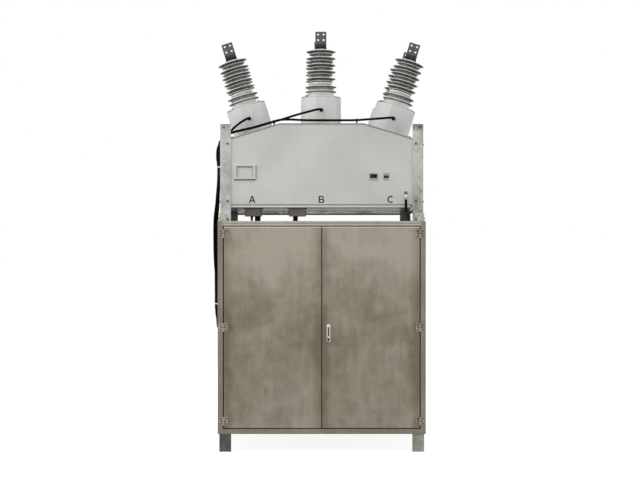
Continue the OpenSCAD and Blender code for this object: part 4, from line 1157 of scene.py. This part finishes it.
# the lug's neck takes a painted highlight where its taper catches the light
for mark, part in enumerate((barrel, neck)):
    lugs.add(revolve(part, 32), at(EARTH_X, -tank_front_y - 12, 0), mark=mark)
lugs.add(block(24, 32, 4, 0, 4, 0.6), on_tank(652, -4, 1690))
make(lugs, "earth_lugs", [lug_tin, lug_highlight, tank_paint])
earth_bolt = Shape().add(bolt(19, 8, 12, 2), on_tank(EARTH_X, 4, EARTH_Z, 12))
earth_bolt.add(bolt(10, 4, 7, 1), on_tank(628, 0, 1720, 5))
make(earth_bolt, "earth_bolt", [bolt_zinc])


# ---- floor, light and camera ----

floor_mesh = bpy.data.meshes.new("floor")
floor_mesh.from_pydata([(-60, -60, 0), (60, -60, 0), (60, 60, 0), (-60, 60, 0)], [], [(0, 1, 2, 3)])
floor = bpy.data.objects.new("floor", floor_mesh)
bpy.context.scene.collection.objects.link(floor)
floor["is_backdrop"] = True


def seen_apart(tree, thrown, shown):
    """Mixes two shaders: one for the light thrown on the breaker, and one for what the lens and
    mirror-like surfaces see."""
    rays = add(tree, "LightPath").node.outputs
    seen = add(tree, "Math", (rays["Is Camera Ray"], rays["Is Glossy Ray"]), operation="MAXIMUM")
    seen = add(tree, "Math", (seen, rays["Is Transmission Ray"]), operation="MAXIMUM")
    return add(tree, "MixShader", (seen, thrown, shown))


# Pale studio floor. It is seen near white, with the soft shadow of the breaker kept; what it
# throws back on the breaker is as low as a matt grey floor's.
ground = bpy.data.materials.new("studio_floor_pale")
tree = bare(ground)
matt = add(tree, "BsdfDiffuse", ("#a5a5a4",))
pale = add(tree, "BsdfDiffuse", ("#7c7c7b",))
glow = add(tree, "Emission", ("#ffffff", 0.9))
add(tree, "OutputMaterial", (seen_apart(tree, matt, add(tree, "AddShader", (pale, glow))),))
floor_mesh.materials.append(ground)

world = bpy.data.worlds.new("studio")
bpy.context.scene.world = world
tree = bare(world)
soft = add(tree, "Background", ("#fbfbfd", 0.74))
white = add(tree, "Background", ("#ffffff", 1.0))
add(tree, "OutputWorld", (seen_apart(tree, soft, white),))


def softbox(name, place, aim, size, power):
    """A square soft light, looking at a point."""
    lamp = bpy.data.lights.new(name, "AREA")
    lamp.shape, lamp.size, lamp.energy = "SQUARE", size, power
    holder = bpy.data.objects.new(name, lamp)
    holder.location = place
    holder.rotation_euler = (Vector(aim) - Vector(place)).to_track_quat("-Z", "Y").to_euler()
    bpy.context.scene.collection.objects.link(holder)


softbox("key_light", (-3.7, -3.5, 8.5), (0, -0.3, 1.7), 3.6, 180)
softbox("top_light", (-0.5, -1.5, 9.0), (0, -0.3, 1.7), 4.0, 130)
softbox("left_light", (-7.0, -2.5, 3.0), (0, -0.3, 1.7), 3.0, 186)
softbox("right_light", (7.0, -2.5, 3.0), (0, -0.3, 1.7), 3.0, 138)
softbox("front_light", (0.3, -11.0, 1.9), (0, -0.3, 1.6), 3.0, 70)
softbox("back_light", (1.5, 5.0, 4.6), (0, 0, 1.6), 3.0, 160)

lens = bpy.data.cameras.new("camera")
lens.sensor_width, lens.lens, lens.shift_x, lens.shift_y = 36.0, 64.3, 0.0375, 0.0016
lens.clip_end = 200
camera = bpy.data.objects.new("camera", lens)
camera.location = (-0.18, -8.49, 1.474)
camera.rotation_euler = (math.radians(90), 0, 0)
bpy.context.scene.collection.objects.link(camera)
bpy.context.scene.camera = camera
bpy.context.scene.view_settings.view_transform = "Standard"

low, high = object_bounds()
